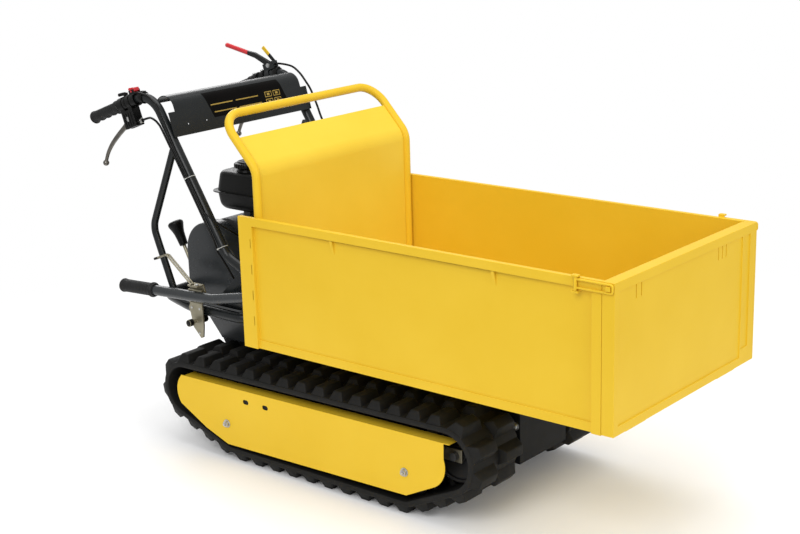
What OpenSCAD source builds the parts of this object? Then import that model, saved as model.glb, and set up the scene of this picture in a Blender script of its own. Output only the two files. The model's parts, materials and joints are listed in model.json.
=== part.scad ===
// Tracked power carrier: a walk-behind tipping box on two rubber tracks, with an engine and a
// handlebar at its rear. Millimetres. +X is the tipping end, +Y the operator's left, +Z up,
// and the ground is z = 0.

/* [Load box] */
// Outer length of the box, gate included
box_l = 1075; // [900:5:1300]
// Outer width of the box
box_w = 620; // [580:5:760]
// Height of the box walls
box_h = 335; // [250:5:420]
// Height of the box floor's underside above the ground
box_floor_z = 336; // [330:1:380]
// Place of the box's rear edge along the machine
box_rear = -235; // [-260:5:-200]
// Thickness of the box sheet
sheet_t = 2; // [1.5:0.5:3]
// Height of the folded top rail
rail_h = 21; // [16:1:30]
// Depth by which the folded edges stand out from the side sheet
fold_d = 10; // [6:1:16]
// Width of the folded rear post of each side
rear_post_w = 46; // [30:1:60]
// Width of the folded front post of each side
front_post_w = 24; // [18:1:40]
// Depth of the front gate's folded edges
gate_t = 30; // [24:1:40]

/* [Headboard] */
// Distance from the rear end of the sides to the headboard tube's axis
head_inset = 49; // [40:1:80]
// Diameter of the headboard tube
head_tube_d = 22; // [18:1:28]
// Height of the top tube's axis above the box rim
head_rise = 237; // [200:1:300]
// Height of the rearward bend above the box rim
head_bend_h = 115; // [90:1:125]
// How far the top tube leans to the rear
head_lean = 113; // [80:1:130]
// Height of the sheet's top edge above the box rim
head_sheet_h = 186; // [150:1:200]

/* [Tipping gear] */
// Distance of the tipping hinge from the origin
tip_pin_x = 500; // [480:1:540]
// Height of the tipping hinge
tip_pin_z = 300; // [290:1:310]
// Diameter of the tipping hinge pin
tip_pin_d = 20; // [16:1:26]
// Distance of the tipping handle from the middle plane
tip_bar_y = 292; // [288:1:300]
// Height of the tipping handle
tip_bar_z = 432; // [420:1:440]
// Diameter of the tipping handle
tip_bar_d = 28; // [24:1:30]
// Distance of the tipping handle's rear end from the origin
tip_bar_end = 701; // [660:1:730]
// Length of the tipping handle's rubber grip
tip_grip_l = 128; // [100:1:150]

/* [Tracks] */
// Width of a track belt
track_w = 180; // [160:1:186]
// Distance between the middles of the two tracks
track_gauge = 404; // [404:2:440]
// Nominal spacing of the belt's links
track_pitch = 60; // [50:1:72]
// Thickness of the belt without its lugs
belt_t = 15; // [12:1:18]
// Height of the ground lugs
lug_h = 20; // [14:1:24]
// Radius of the drive sprocket
sprocket_r = 62; // [54:1:66]
// Radius of the front idler
idler_r = 70; // [64:1:76]
// Radius of a bottom roller
roller_r = 40; // [34:1:44]
// Thickness of the side cover's sheet
cover_t = 2; // [1.5:0.5:3]

/* [Chassis] */
// Outer width of the centre frame
frame_w = 194; // [184:2:200]
// Thickness of the frame plates
plate_t = 6; // [4:1:8]
// Diameter of the rear loop tube
loop_d = 28; // [24:1:30]
// Distance between the loop's two side legs
loop_w = 530; // [520:2:540]

/* [Handlebar] */
// Diameter of the handlebar tubes
bar_d = 25; // [22:1:28]
// Wall of the bent tubes
tube_wall = 2; // [1.5:0.5:3]
// Distance between the two handlebar tubes
bar_gap = 500; // [480:2:510]
// Diameter of the braces
brace_d = 19; // [16:1:22]
// Length of a hand grip
grip_l = 115; // [100:1:120]
// Diameter of a hand grip
grip_d = 31; // [30:1:34]
// Slope of the handles below the horizontal
handle_slope = 20; // [10:1:25]

/* [Engine] */
// Radius of the engine's pulley at the belt
engine_pulley_r = 38; // [30:1:44]
// Radius of the gearbox pulley at the belt
gearbox_pulley_r = 54; // [46:1:56]
// Length of the fuel tank along the machine
tank_l = 225; // [200:1:240]
// Width of the fuel tank across the machine
tank_w = 205; // [180:1:220]

/* [Hidden] */
$fn = 48;

// Finishes
yellow = [0.93, 0.76, 0.2];
frame_grey = [0.2, 0.21, 0.22];
black = [0.09, 0.09, 0.09];
rubber = [0.12, 0.12, 0.12];
cast = [0.55, 0.55, 0.55];
zinc = [0.75, 0.74, 0.66];
red = [0.75, 0.12, 0.12];

// Clearances: between a turning pin and its hole, between parts that pass or rest, and at seats
run_gap = 0.05;
pass_gap = 1;
seat_gap = 0.3;

// Places on the load box
box_front = box_rear + box_l;
box_top = box_floor_z + box_h;
box_y = box_w / 2;
side_y = box_y - fold_d;
side_front = box_front - gate_t - pass_gap;
head_x = box_rear + head_inset;
head_r = head_tube_d / 2;
head_y = side_y - sheet_t - head_r - pass_gap;
head_bend_r = 55;
head_corner_r = 60;
head_seat = box_floor_z + 0.6 * sheet_t;
gate_hinge_x = box_front - gate_t / 2;
gate_hinge_z = box_floor_z - 4;
gate_pin_r = 2.5;
gate_knuckle_r = 5;
gate_knuckle_l = 40;
gate_hinge_y = box_y - 110;
bail_x = side_front - 60;
bail_y = box_y + 5;
bail_wire_r = 2.5;
bail_z0 = box_top - rail_h;
bail_z1 = box_top - 3;
under_y0 = frame_w / 2 - plate_t - 28;
under_y1 = frame_w / 2 - plate_t - 3;
under_z = 298;

// Places on the undercarriage
track_y = track_gauge / 2;
track_out = track_y + track_w / 2;
roller_z = belt_t + lug_h + roller_r;
roller_x = [-324, -25, 250];
sprocket_x = -494;
sprocket_z = 159;
idler_x = 376;
idler_z = 166;
wheel_gap = 0.5;
horn_h = 20;
horn_in = 10;
horn_out = 22;
rim_in = 24;
rim_out = 36;
fork_in = 44;
fork_out = 50;
yoke_in = 38;
roller_axle_r = 8;
idler_axle_r = 10;
beam_z0 = 125;
beam_z1 = 175;
beam_rear = -360;
beam_front = 212;
yoke_front = 240;
drive_shaft_r = 15;
cover_bolt = [[-336, 100], [259, 112]];
cover_slot = [[-264, 173], [-195, 173]];

// Places on the centre frame
frame_y = frame_w / 2;
frame_z0 = 112;
frame_z1 = 290;
frame_front = 454;
rest_x = [-255, 100];
engine_plate_z = 392;
engine_z = engine_plate_z + plate_t;
loop_z = 387;
loop_front = -255;
loop_turn = -470;
loop_rear = -622;
loop_taper = 50;
loop_bend = 55;
cross_x = [-180, 180];
cross_r = 25;
cross_z = (beam_z0 + beam_z1) / 2;

// Places on the handlebar
bar_r = bar_d / 2;
bar_y = bar_gap / 2;
bar_foot = [-268, loop_z + loop_d / 2];
bar_knee = [-268, 505];
bar_hip = [-342, 539.3];
bar_top = [-588, 939];
handle_run = 229;
handle_end = bar_top - handle_run * [1, tan(handle_slope)];
bar_bends = [50, 50, 70];
brace_r = brace_d / 2;
bar_line = (bar_top - bar_hip) / norm(bar_top - bar_hip);
bar_front = [bar_line[1], -bar_line[0]];
brace_top = bar_hip + 310 * bar_line - (bar_r + 0.58 * brace_r + 0.2) * bar_front;
brace_bend = [-617, 580];
loop_r = loop_d / 2;
brace_foot = [-549, loop_z + loop_r + 0.35 * brace_r];
panel_y = bar_y - bar_r - 3;
panel_foot = [-501, 831];
panel_bend = [-523, 905];
panel_roll_r = 36;
panel_t = 2;

// Places on the engine and drive
crank = [-521, 498];
input_shaft = [-440, 335];
belt_y = -frame_y - 27;
drive_belt_w = 12;
drive_belt_t = 8;
crank_r = 12;
input_r = 10;
arm_pivot = [-400, 452];
arm_roller = [-395, 412];
tank_rear = -555;
tank_y = 5;
seat_z = 594;
tank_z0 = seat_z + 12;
tank_seam = tank_z0 + 51;
tank_z1 = tank_seam + 55;
gear_pivot = [-645, 345];
gear_y = -62;
gear_lean = 27.5;

// The latch that holds the tipping handle down to the rear loop
latch_x0 = -452;
latch_x1 = -402;
latch_pin_z = loop_z - loop_d / 2 - 10 - seat_gap;
latch_pin_x = -428;

// Helpers

// Puts a shape that is drawn for the left side on the side given by s
module on_side(s) {
    if (s > 0) children();
    else mirror([0, 1, 0]) children();
}

// Stands a flat shape drawn in x and z upright, from y0 to y0 + t
module upright(y0, t) {
    translate([0, y0 + t, 0]) rotate([90, 0, 0]) linear_extrude(t) children();
}

// A shaft along y
module shaft(p, y0, y1, r) {
    translate([p[0], y0, p[1]]) rotate([-90, 0, 0]) cylinder(r = r, h = y1 - y0);
}

// A turned shape about an axis along y, from a profile of radius and y
module turned(p) {
    translate([p[0], 0, p[1]]) rotate([-90, 0, 0]) rotate_extrude() children();
}

module block(lo, hi) {
    translate(lo) cube(hi - lo);
}

function unit(v) = v / norm(v);
function arc_points(c, r, a0, a1, n) =
    [for (i = [0:n]) c + r * [cos(a0 + (a1 - a0) * i / n), sin(a0 + (a1 - a0) * i / n)]];

// Frame whose z axis runs along d
module along(p, d) {
    translate(p) rotate([0, acos(d[2] / norm(d)), atan2(d[1], d[0])]) children();
}

module rod(p, q, r) {
    along(p, q - p) cylinder(r = r, h = norm(q - p));
}

// How far a bend of radius r takes up the legs at corner b
function bend_reach(a, b, c, r) =
    let (half = acos(unit(a - b) * unit(c - b)) / 2)
    r / tan(half);

// A bent tube through the points p, with the bend radii r at its inner corners; the bends are a
// trace thicker than the straights, which reach a little way into them
bend_swell = 0.05;

module bent_tube(p, r, outer, wall = 0) {
    last = len(p) - 1;
    reach = [for (i = [0:last])
        i == 0 || i == last ? 0 : bend_reach(p[i - 1], p[i], p[i + 1], r[i - 1])];
    lap = [for (i = [0:last])
        i == 0 || i == last ? 0 : sqrt(bend_swell * (r[i - 1] - outer))];
    module ring(swell) {
        difference() {
            circle(outer + swell);
            if (wall > 0) circle(outer - wall - swell);
        }
    }
    union() {
        for (i = [0:last - 1]) {
            d = unit(p[i + 1] - p[i]);
            from = p[i] + d * (reach[i] - lap[i]);
            to = p[i + 1] - d * (reach[i + 1] - lap[i + 1]);
            along(from, to - from) linear_extrude(norm(to - from)) ring(0);
        }
        for (i = [1:last - 1]) {
            a = unit(p[i - 1] - p[i]);
            c = unit(p[i + 1] - p[i]);
            half = acos(a * c) / 2;
            centre = p[i] + unit(a + c) * r[i - 1] / sin(half);
            ux = unit(p[i] + a * reach[i] - centre);
            uz = unit(cross(ux, p[i] + c * reach[i] - centre));
            uy = cross(uz, ux);
            multmatrix([[ux[0], uy[0], uz[0], centre[0]], [ux[1], uy[1], uz[1], centre[1]],
                [ux[2], uy[2], uz[2], centre[2]]])
                rotate_extrude(angle = 180 - 2 * half) translate([r[i - 1], 0]) ring(bend_swell);
        }
    }
}

// Carries a direction square to a route along it without twist
function carried(dir, i) = i == 0 ? unit(cross(dir[0], [0.1, 1, 0.05]))
    : let (v = carried(dir, i - 1)) unit(v - dir[i] * (v * dir[i]));

// A cable swept along its route as one closed tube
module cable(route, r, sides = 8) {
    n = len(route);
    dir = [for (i = [0:n - 1]) unit(route[min(i + 1, n - 1)] - route[max(i - 1, 0)])];
    rings = [for (i = [0:n - 1])
        let (side = carried(dir, i), up = cross(dir[i], side))
        for (k = [0:sides - 1])
            route[i] + r * (side * cos(360 * k / sides) + up * sin(360 * k / sides))];
    ends = [[for (k = [0:sides - 1]) k], [for (k = [0:sides - 1]) n * sides - 1 - k]];
    walls = [for (i = [0:n - 2]) for (k = [0:sides - 1])
        let (a = i * sides + k, b = i * sides + (k + 1) % sides)
        each [[a, a + sides, b], [b, a + sides, b + sides]]];
    polyhedron(rings, concat(ends, walls), convexity = 8);
}

// Loops around wheels: c lists the wheels as x, z and radius, in the order of travel

function leave_angle(c, i) =
    let (a = c[i], b = c[(i + 1) % len(c)], dx = b[0] - a[0], dz = b[1] - a[1])
    atan2(dz, dx) - acos((a[2] - b[2]) / norm([dx, dz]));
function wrap_angle(c, i) =
    let (t = leave_angle(c, i) - leave_angle(c, (i + len(c) - 1) % len(c)))
    t - 360 * floor(t / 360);
function free_length(c, i) =
    let (a = c[i], b = c[(i + 1) % len(c)])
    sqrt(pow(b[0] - a[0], 2) + pow(b[1] - a[1], 2) - pow(a[2] - b[2], 2));
function spans(c, h) = [for (i = [0:len(c) - 1])
    each [(c[i][2] + h) * wrap_angle(c, i) * PI / 180, free_length(c, i)]];
function total(v, i = 0) = i == len(v) ? 0 : v[i] + total(v, i + 1);
function locate(v, s, i = 0) = s <= v[i] || i == len(v) - 1 ? [i, s] : locate(v, s - v[i], i + 1);

// Point at the length s along the loop's line at height h0, moved out to the height h
function loop_point(c, v, h0, s, h) =
    let (len_all = total(v), at = locate(v, s - len_all * floor(s / len_all)),
        k = floor(at[0] / 2), a = c[k], b = c[(k + 1) % len(c)], n = len(c))
    at[0] % 2 == 0
        ? let (t = leave_angle(c, (k + n - 1) % n) + at[1] / (a[2] + h0) * 180 / PI)
            [a[0] + (a[2] + h) * cos(t), a[1] + (a[2] + h) * sin(t)]
        : let (t = leave_angle(c, k), e = [cos(t), sin(t)], f = at[1] / v[at[0]])
            [a[0], a[1]] * (1 - f) + [b[0], b[1]] * f + e * ((1 - f) * a[2] + f * b[2] + h);

// Outline of a loop at height h, with a point every few degrees of each wrap
function loop_outline(c, h, step = 6) = [for (i = [0:len(c) - 1])
    let (t0 = leave_angle(c, (i + len(c) - 1) % len(c)), w = wrap_angle(c, i), m = ceil(w / step))
    for (j = [0:m]) [c[i][0], c[i][1]] + (c[i][2] + h) * [cos(t0 + w * j / m), sin(t0 + w * j / m)]];

// Undercarriage

track_wheels = [[sprocket_x, sprocket_z, sprocket_r], [roller_x[0], roller_z, roller_r],
    [roller_x[2], roller_z, roller_r], [idler_x, idler_z, idler_r]];
link_line = 7;
belt_spans = spans(track_wheels, link_line);
belt_len = total(belt_spans);
link_n = round(belt_len / track_pitch);
link = belt_len / link_n;
lug_base = 50;
lug_top = 24;

function belt_at(s, h) = loop_point(track_wheels, belt_spans, link_line, s, h);

// Outer outline of the belt with a row of lugs, shifted by a share of a link
function lug_outline(shift) = [for (k = [0:link_n - 1])
    let (s = (k + shift) * link)
    each [belt_at(s - lug_base / 2, belt_t), belt_at(s - lug_top / 2, belt_t + lug_h),
        belt_at(s + lug_top / 2, belt_t + lug_h), belt_at(s + lug_base / 2, belt_t)]];

// Inner outline of the belt, with a row of guide horns where h is above zero
function horn_outline(h) = [for (k = [0:link_n - 1])
    let (s = k * link, rest = link - 18)
    each concat([belt_at(s - 9, 0)],
        h > 0 ? [belt_at(s - 6, -h), belt_at(s + 6, -h)] : [for (j = [-1:1]) belt_at(s + 4.5 * j, 0)],
        [for (j = [0:5]) belt_at(s + 9 + rest * j / 6, 0)])];

module belt_strip(outer, inner, y0, y1) {
    upright(y0, y1 - y0) difference() {
        polygon(outer);
        polygon(inner);
    }
}

module track_belt(s) {
    near_lugs = lug_outline(0);
    far_lugs = lug_outline(0.5);
    plain = horn_outline(0);
    horns = horn_outline(horn_h);
    edge = track_w / 2;
    color(rubber) on_side(s) translate([0, track_y, 0]) union() {
        belt_strip(near_lugs, plain, horn_out, edge);
        belt_strip(near_lugs, horns, horn_in, horn_out);
        belt_strip(loop_outline(track_wheels, belt_t), plain, -horn_in, horn_in);
        belt_strip(far_lugs, horns, -horn_out, -horn_in);
        belt_strip(far_lugs, plain, -edge, -horn_out);
    }
}

module track_belt_right() { track_belt(-1); }
module track_belt_left() { track_belt(1); }

module drive_sprocket(s) {
    teeth = 7;
    tip = sprocket_r - wheel_gap;
    root = tip - 15;
    half = horn_in - 2;
    step = 360 / teeth;
    outline = [for (i = [0:teeth - 1]) let (a = i * step)
        each [root * [cos(a - 15), sin(a - 15)], tip * [cos(a - 6), sin(a - 6)],
            tip * [cos(a + 6), sin(a + 6)], root * [cos(a + 15), sin(a + 15)]]];
    color(cast) on_side(s) union() {
        translate([sprocket_x, 0, sprocket_z]) upright(track_y - half, 2 * half) polygon(outline);
        shaft([sprocket_x, sprocket_z], track_y - 40, track_y + 26, 28);
        shaft([sprocket_x, sprocket_z], 62, track_y + 34, drive_shaft_r);
    }
}

module drive_sprocket_right() { drive_sprocket(-1); }
module drive_sprocket_left() { drive_sprocket(1); }

// A wheel with two rims that run beside the guide horns
module spool(p, r, bore, hub, web) {
    rim = r - wheel_gap;
    turned(p) translate([0, track_y]) polygon([[bore, -rim_out], [hub, -rim_out], [hub, -rim_out + 4],
        [rim - 9, -rim_out + 4], [rim - 9, -rim_out], [rim, -rim_out], [rim, -rim_in],
        [web, -rim_in], [web, rim_in], [rim, rim_in], [rim, rim_out], [rim - 9, rim_out],
        [rim - 9, rim_out - 4], [hub, rim_out - 4], [hub, rim_out], [bore, rim_out]]);
}

module idler_wheel(s) {
    color(cast) on_side(s)
        spool([idler_x, idler_z], idler_r, idler_axle_r + run_gap, 24, idler_r - horn_h - 8);
}

module idler_wheel_right() { idler_wheel(-1); }
module idler_wheel_left() { idler_wheel(1); }

module roller(s, i) {
    color(black) on_side(s)
        spool([roller_x[i], roller_z], roller_r, roller_axle_r + run_gap, 16, roller_r - horn_h - 3);
}

module roller_right_1() { roller(-1, 0); }
module roller_right_2() { roller(-1, 1); }
module roller_right_3() { roller(-1, 2); }
module roller_left_1() { roller(1, 0); }
module roller_left_2() { roller(1, 1); }
module roller_left_3() { roller(1, 2); }

module wheel_axles() {
    reach = fork_out + 6;
    color(cast) for (s = [-1, 1]) on_side(s) {
        for (x = roller_x) shaft([x, roller_z], track_y - reach, track_y + reach, roller_axle_r);
        shaft([idler_x, idler_z], track_y - reach, track_y + reach, idler_axle_r);
    }
}

module track_frame(s) {
    wall = 5;
    lug_w = 22;
    plate_y = [-fork_out, fork_in];
    color(frame_grey) on_side(s) difference() {
        union() {
            difference() {
                block([beam_rear, track_y - fork_in, beam_z0], [beam_front, track_y + fork_in, beam_z1]);
                block([beam_rear - 1, track_y - fork_in + wall, beam_z0 + wall],
                    [beam_front - wall, track_y + fork_in - wall, beam_z1 - wall]);
            }
            for (y = plate_y) translate([0, track_y + y, 0]) {
                for (x = roller_x)
                    block([x - lug_w, 0, roller_z - 16], [x + lug_w, fork_out - fork_in, beam_z1]);
                block([beam_front - 6, 0, beam_z0], [roller_x[2] + 30, fork_out - fork_in, beam_z1]);
            }
            for (p = cover_bolt)
                block([p[0] - 20, track_y + fork_in, p[1] - 14],
                    [p[0] + 20, track_y + fork_out, beam_z0 + 10]);
            for (p = concat(cover_bolt, cover_slot))
                shaft(p, track_y + fork_in - 1, track_out - cover_t, 9);
        }
        for (x = roller_x)
            shaft([x, roller_z], track_y - fork_out - 1, track_y + fork_out + 1, roller_axle_r + run_gap);
        translate([beam_front - 10, track_y, cross_z]) rotate([0, 90, 0]) cylinder(r = 8.2, h = 20);
        for (p = cover_bolt) shaft(p, track_out - 20, track_out, 4.2);
    }
}

module track_frame_right() { track_frame(-1); }
module track_frame_left() { track_frame(1); }

// Fork and screw that push each idler forward
module track_tensioners() {
    arm_h = 16;
    arm_out = fork_in - seat_gap;
    back = beam_front + 14;
    color(zinc) for (s = [-1, 1]) on_side(s) translate([0, track_y, 0]) difference() {
        union() {
            for (y = [-arm_out, yoke_in])
                block([back, y, idler_z - arm_h], [idler_x + 18, y + arm_out - yoke_in, idler_z + arm_h]);
            block([back, -arm_out, cross_z - 16], [yoke_front, arm_out, idler_z - arm_h + 8]);
            translate([beam_front - 89, 0, cross_z]) rotate([0, 90, 0]) cylinder(r = 8, h = 106);
            translate([beam_front, 0, cross_z]) rotate([0, 90, 0]) cylinder(r = 15, h = 14.5, $fn = 6);
        }
        shaft([idler_x, idler_z], -60, 60, idler_axle_r + run_gap);
    }
}

// Side sheet inside the belt's loop, with its top edge folded inwards
cover_top_rear = [-502, 199.8];
cover_top_front = [377, 212];
cover_outline = concat([cover_top_front, cover_top_rear],
    arc_points([-462, 156], 59, 150, 218, 8), [[-362, 42], [262, 53]],
    arc_points([318, 150], 62, -62, 20, 10));

module side_cover(s) {
    flange = 40;
    slope = atan2(cover_top_front[1] - cover_top_rear[1], cover_top_front[0] - cover_top_rear[0]);
    reach = norm(cover_top_front - cover_top_rear);
    color(yellow) on_side(s) difference() {
        union() {
            upright(track_out - cover_t, cover_t) intersection() {
                polygon(cover_outline);
                polygon(loop_outline(track_wheels, -5));
            }
            translate([cover_top_rear[0], track_out - flange, cover_top_rear[1]]) rotate([0, -slope, 0])
                translate([8, 0, -cover_t - 0.4]) cube([reach + 8, flange - cover_t / 2, cover_t]);
        }
        for (p = cover_bolt) shaft(p, track_out - 10, track_out + 10, 4.5);
        for (p = cover_slot) upright(track_out - 10, 20)
            polygon(concat(arc_points(p + [4, 0], 6, -90, 90, 10), arc_points(p - [4, 0], 6, 90, 270, 10)));
    }
}

module side_cover_right() { side_cover(-1); }
module side_cover_left() { side_cover(1); }

// Bolts with washers that show: on the side covers, the frame and the handlebar feet
module bolt_y(p, y, s) {
    on_side(s) {
        shaft(p, y, y + 2, 11);
        translate([p[0], y + 2, p[1]]) rotate([-90, 0, 0]) cylinder(r = 9, h = 6, $fn = 6);
        shaft(p, y + 7.5, y + 13, 4);
    }
}

module zinc_bolts() {
    color(zinc) for (s = [-1, 1]) {
        for (p = cover_bolt) union() {
            bolt_y(p, track_out, s);
            on_side(s) shaft(p, track_out - 18, track_out + 1, 4);
        }
        for (p = [[420, 222], [440, 206]]) bolt_y(p, frame_y, s);
    }
}

// Centre frame

module chassis_frame() {
    outline = [[-440, frame_z0], [frame_front, frame_z0], [frame_front, 262], [tip_pin_x + 22, 262],
        [tip_pin_x + 22, tip_pin_z + 18], [tip_pin_x - 60, tip_pin_z + 18], [tip_pin_x - 75, frame_z1],
        [-240, frame_z1], [-240, engine_plate_z], [-600, engine_plate_z], [-573, 300], [-531, 228],
        [-525, 130]];
    color(frame_grey) difference() {
        union() {
            for (s = [-1, 1]) on_side(s) upright(frame_y - plate_t, plate_t) polygon(outline);
            block([frame_front - plate_t, -frame_y + 1, frame_z0], [frame_front, frame_y - 1, 262]);
            block([-365, -frame_y + 1, frame_z0], [frame_front - 1, frame_y - 1, frame_z0 + 4]);
            for (x = rest_x)
                block([x, -frame_y + 1, frame_z1 - 12], [x + 40, frame_y - 1, under_z - seat_gap]);
            block([-600, -frame_y, engine_plate_z], [-276, frame_y + 34, engine_z]);
            for (x = cross_x, s = [-1, 1]) on_side(s)
                shaft([x, cross_z], frame_y - plate_t / 2, track_y - fork_in, cross_r);
            block([-420, -frame_y, frame_z1], [-378, -frame_y + plate_t, arm_pivot[1] + 14]);
            block([gear_pivot[0] - 14, gear_y - 12, gear_pivot[1] - 14],
                [-570, gear_y - 7, gear_pivot[1] + 14]);
            block([-590, gear_y - 35, gear_pivot[1] - 14], [-570, gear_y - 7, gear_pivot[1] + 14]);
        }
        shaft([tip_pin_x, tip_pin_z], -frame_y - 1, frame_y + 1, tip_pin_d / 2 + run_gap);
        shaft([sprocket_x, sprocket_z], -frame_y - 1, frame_y + 1, drive_shaft_r + 5);
        shaft(input_shaft, -frame_y - 1, -frame_y + plate_t + 1, input_r + 6);
        shaft(arm_pivot, -frame_y - 1, -frame_y + plate_t + 1, 6 + run_gap);
        shaft(gear_pivot, gear_y - 13, gear_y - 6, 5 + run_gap);
    }
}

module rear_loop() {
    y = loop_w / 2;
    near = [[loop_front, -frame_y], [loop_front, -y], [loop_turn, -y], [loop_rear, loop_taper - y]];
    far = [for (i = [3:-1:0]) [near[i][0], -near[i][1]]];
    path = [for (q = concat(near, far)) [q[0], q[1], loop_z]];
    bends = [loop_bend, 200, loop_bend, loop_bend, 200, loop_bend];
    color(frame_grey) bent_tube(path, bends, loop_d / 2, tube_wall);
}

// Drive

module gearbox() {
    wide = 60;
    outline = concat(arc_points([sprocket_x, sprocket_z], 62, 150, 300, 12), [[-392, 135], [-385, 250]],
        arc_points(input_shaft, 46, -10, 130, 10), [[-540, 290]]);
    color(cast) difference() {
        union() {
            upright(-wide, 2 * wide) polygon(outline);
            for (s = [-1, 1]) on_side(s)
                shaft([sprocket_x, sprocket_z], wide - 1, frame_y - plate_t - seat_gap, 36);
            shaft(input_shaft, -frame_y + plate_t + seat_gap, -wide + 1, 26);
            upright(-4, 8) polygon(concat(arc_points([sprocket_x, sprocket_z], 70, 150, 290, 12),
                [[-384, 128], [-377, 250]], arc_points(input_shaft, 54, -10, 130, 10), [[-548, 294]]));
        }
        for (s = [-1, 1]) on_side(s)
            shaft([sprocket_x, sprocket_z], 61, frame_y, drive_shaft_r + run_gap);
        shaft(input_shaft, -frame_y, -wide, input_r + run_gap);
    }
}

// A grooved pulley at the belt's plane, with its shaft from y0 to y1
module pulley(p, r, y0, y1, shaft_r) {
    rim = 7;
    half = drive_belt_w / 2 + 1;
    turned(p) polygon([[0, y0], [shaft_r, y0], [shaft_r, belt_y - half - 5], [r + rim, belt_y - half - 5],
        [r + rim, belt_y - half], [r, belt_y - half + 0.6], [r, belt_y + half - 0.6],
        [r + rim, belt_y + half], [r + rim, belt_y + half + 5], [shaft_r, belt_y + half + 5],
        [shaft_r, y1], [0, y1]]);
}

module gearbox_pulley() {
    color(cast) pulley(input_shaft, gearbox_pulley_r, belt_y - 16, -61, input_r);
}

engine_face = -72;

module engine_pulley() {
    color(cast) pulley(crank, engine_pulley_r, belt_y - 16, engine_face + 18, crank_r);
}

module drive_belt() {
    c = [[crank[0], crank[1], engine_pulley_r], [input_shaft[0], input_shaft[1], gearbox_pulley_r]];
    color(rubber) upright(belt_y - drive_belt_w / 2, drive_belt_w) difference() {
        polygon(loop_outline(c, drive_belt_t + wheel_gap, 6));
        polygon(loop_outline(c, wheel_gap, 6));
    }
}

module tension_arm() {
    half = drive_belt_w / 2;
    color(zinc) union() {
        shaft(arm_pivot, belt_y + half + 3, -frame_y + plate_t + 4, 6);
        shaft(arm_pivot, belt_y + half + 3, -frame_y - seat_gap, 11);
        along([arm_pivot[0], belt_y + half + 5.5, arm_pivot[1]],
            [arm_roller[0] - arm_pivot[0], 0, arm_roller[1] - arm_pivot[1]])
            translate([-6, -2, 0]) cube([12, 4, norm(arm_roller - arm_pivot)]);
        shaft(arm_roller, belt_y - half, belt_y + half + 8, 9);
    }
}

// Guard round the belt, open towards the frame
guard_outline = concat(arc_points(crank, 83, 20, 180, 20), [[-604, 410]],
    arc_points([-584, 405], 20, 180, 217, 3), [[-488, 267], [-372, 267], [-352, 297], [-352, 440]]);

module belt_cover() {
    depth = 54;
    wall = 2;
    front = -frame_y - depth;
    color(frame_grey) difference() {
        upright(front, depth) polygon(guard_outline);
        upright(front + wall, depth) offset(delta = -wall) polygon(guard_outline);
    }
}

// Engine

cyl_tilt = 15;
tank_seat_x = [tank_rear + 49, tank_rear + 115];
seat_l = 24;

module engine_block() {
    face = engine_face;
    color(cast) difference() {
        union() {
            upright(face, 150) polygon(concat([[crank[0] - 92, engine_z], [crank[0] + 92, engine_z],
                [crank[0] + 92, 540]], arc_points(crank, 80, 45, 140, 12), [[crank[0] - 92, 500]]));
            translate([crank[0], 5, crank[1]]) rotate([0, -cyl_tilt, 0]) {
                block([60, -42, -42], [205, 42, 42]);
                for (i = [0:7]) block([98 + i * 11, -58, -54], [101 + i * 11, 58, 50]);
                block([190, -50, -50], [203, 50, 48]);
                block([200, -40, -42], [222, 40, 42]);
            }
            for (x = tank_seat_x) block([x, -25, 540], [x + seat_l, 35, seat_z]);
            block([-338, -42, 570], [-305, -14, 603]);
        }
        shaft(crank, face - 1, face + 20, crank_r + run_gap);
    }
}

module recoil_starter() {
    y0 = engine_face + 150 + seat_gap;
    color(black) union() {
        difference() {
            union() {
                shaft(crank, y0, y0 + 40, 96);
                shaft(crank, y0 + 39, y0 + 66, 66);
            }
            for (i = [0:11]) rotate_about(crank, i * 30)
                block([crank[0] + 72, y0 + 30, crank[1] - 6], [crank[0] + 89, y0 + 45, crank[1] + 6]);
        }
        block([crank[0] - 96, y0 + 44, crank[1] + 26], [crank[0] - 48, y0 + 62, crank[1] + 42]);
    }
}

// Turns a shape about an axis along y
module rotate_about(p, a) {
    translate([p[0], 0, p[1]]) rotate([0, a, 0]) translate([-p[0], 0, -p[1]]) children();
}

module rounded(x, y, r) {
    translate([r, r]) offset(r = r, $fn = 32) square([x - 2 * r, y - 2 * r]);
}

// A flat slice of the tank at height z, drawn in by inset
module tank_slice(z, inset) {
    translate([tank_rear + 10 + inset, tank_y - tank_w / 2 + 2 + inset, z])
        linear_extrude(0.5) rounded(tank_l - 12 - 2 * inset, tank_w - 4 - 2 * inset, 28);
}

// One half of the tank: a rounded tray with a shoulder that narrows from the seam to z
module tank_half(z, shoulder, draw_in) {
    hull() {
        tank_slice(tank_seam, 0);
        tank_slice(shoulder, draw_in[0]);
        tank_slice(z, draw_in[1]);
    }
}

tank_cap_at = [tank_rear + 92, tank_y - tank_w / 2 + 52.5];

module fuel_tank() {
    color(black) union() {
        tank_half(tank_z1 - 0.5, tank_z1 - 12, [9, 22]);
        tank_half(tank_z0, tank_z0 + 16, [8, 24]);
        translate([tank_rear, tank_y - tank_w / 2 - 8, tank_seam - 2])
            linear_extrude(4) rounded(tank_l + 8, tank_w + 16, 34);
        translate([tank_cap_at[0], tank_cap_at[1], tank_z1 - 1]) cylinder(r = 24, h = 9);
        for (x = tank_seat_x) block([x + 4, -20, seat_z], [x + seat_l - 4, 30, tank_z0 + 1]);
    }
}

module fuel_cap() {
    color(black) translate([tank_cap_at[0], tank_cap_at[1], tank_z1 + 8 + seat_gap]) difference() {
        union() {
            cylinder(r = 33, h = 13);
            translate([0, 0, 12]) cylinder(r = 25, h = 6);
        }
        for (i = [0:11]) rotate(i * 30) translate([35, 0, -1]) cylinder(r = 4.5, h = 20);
    }
}

side_gear_x = tank_rear + tank_l + 12;

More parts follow.
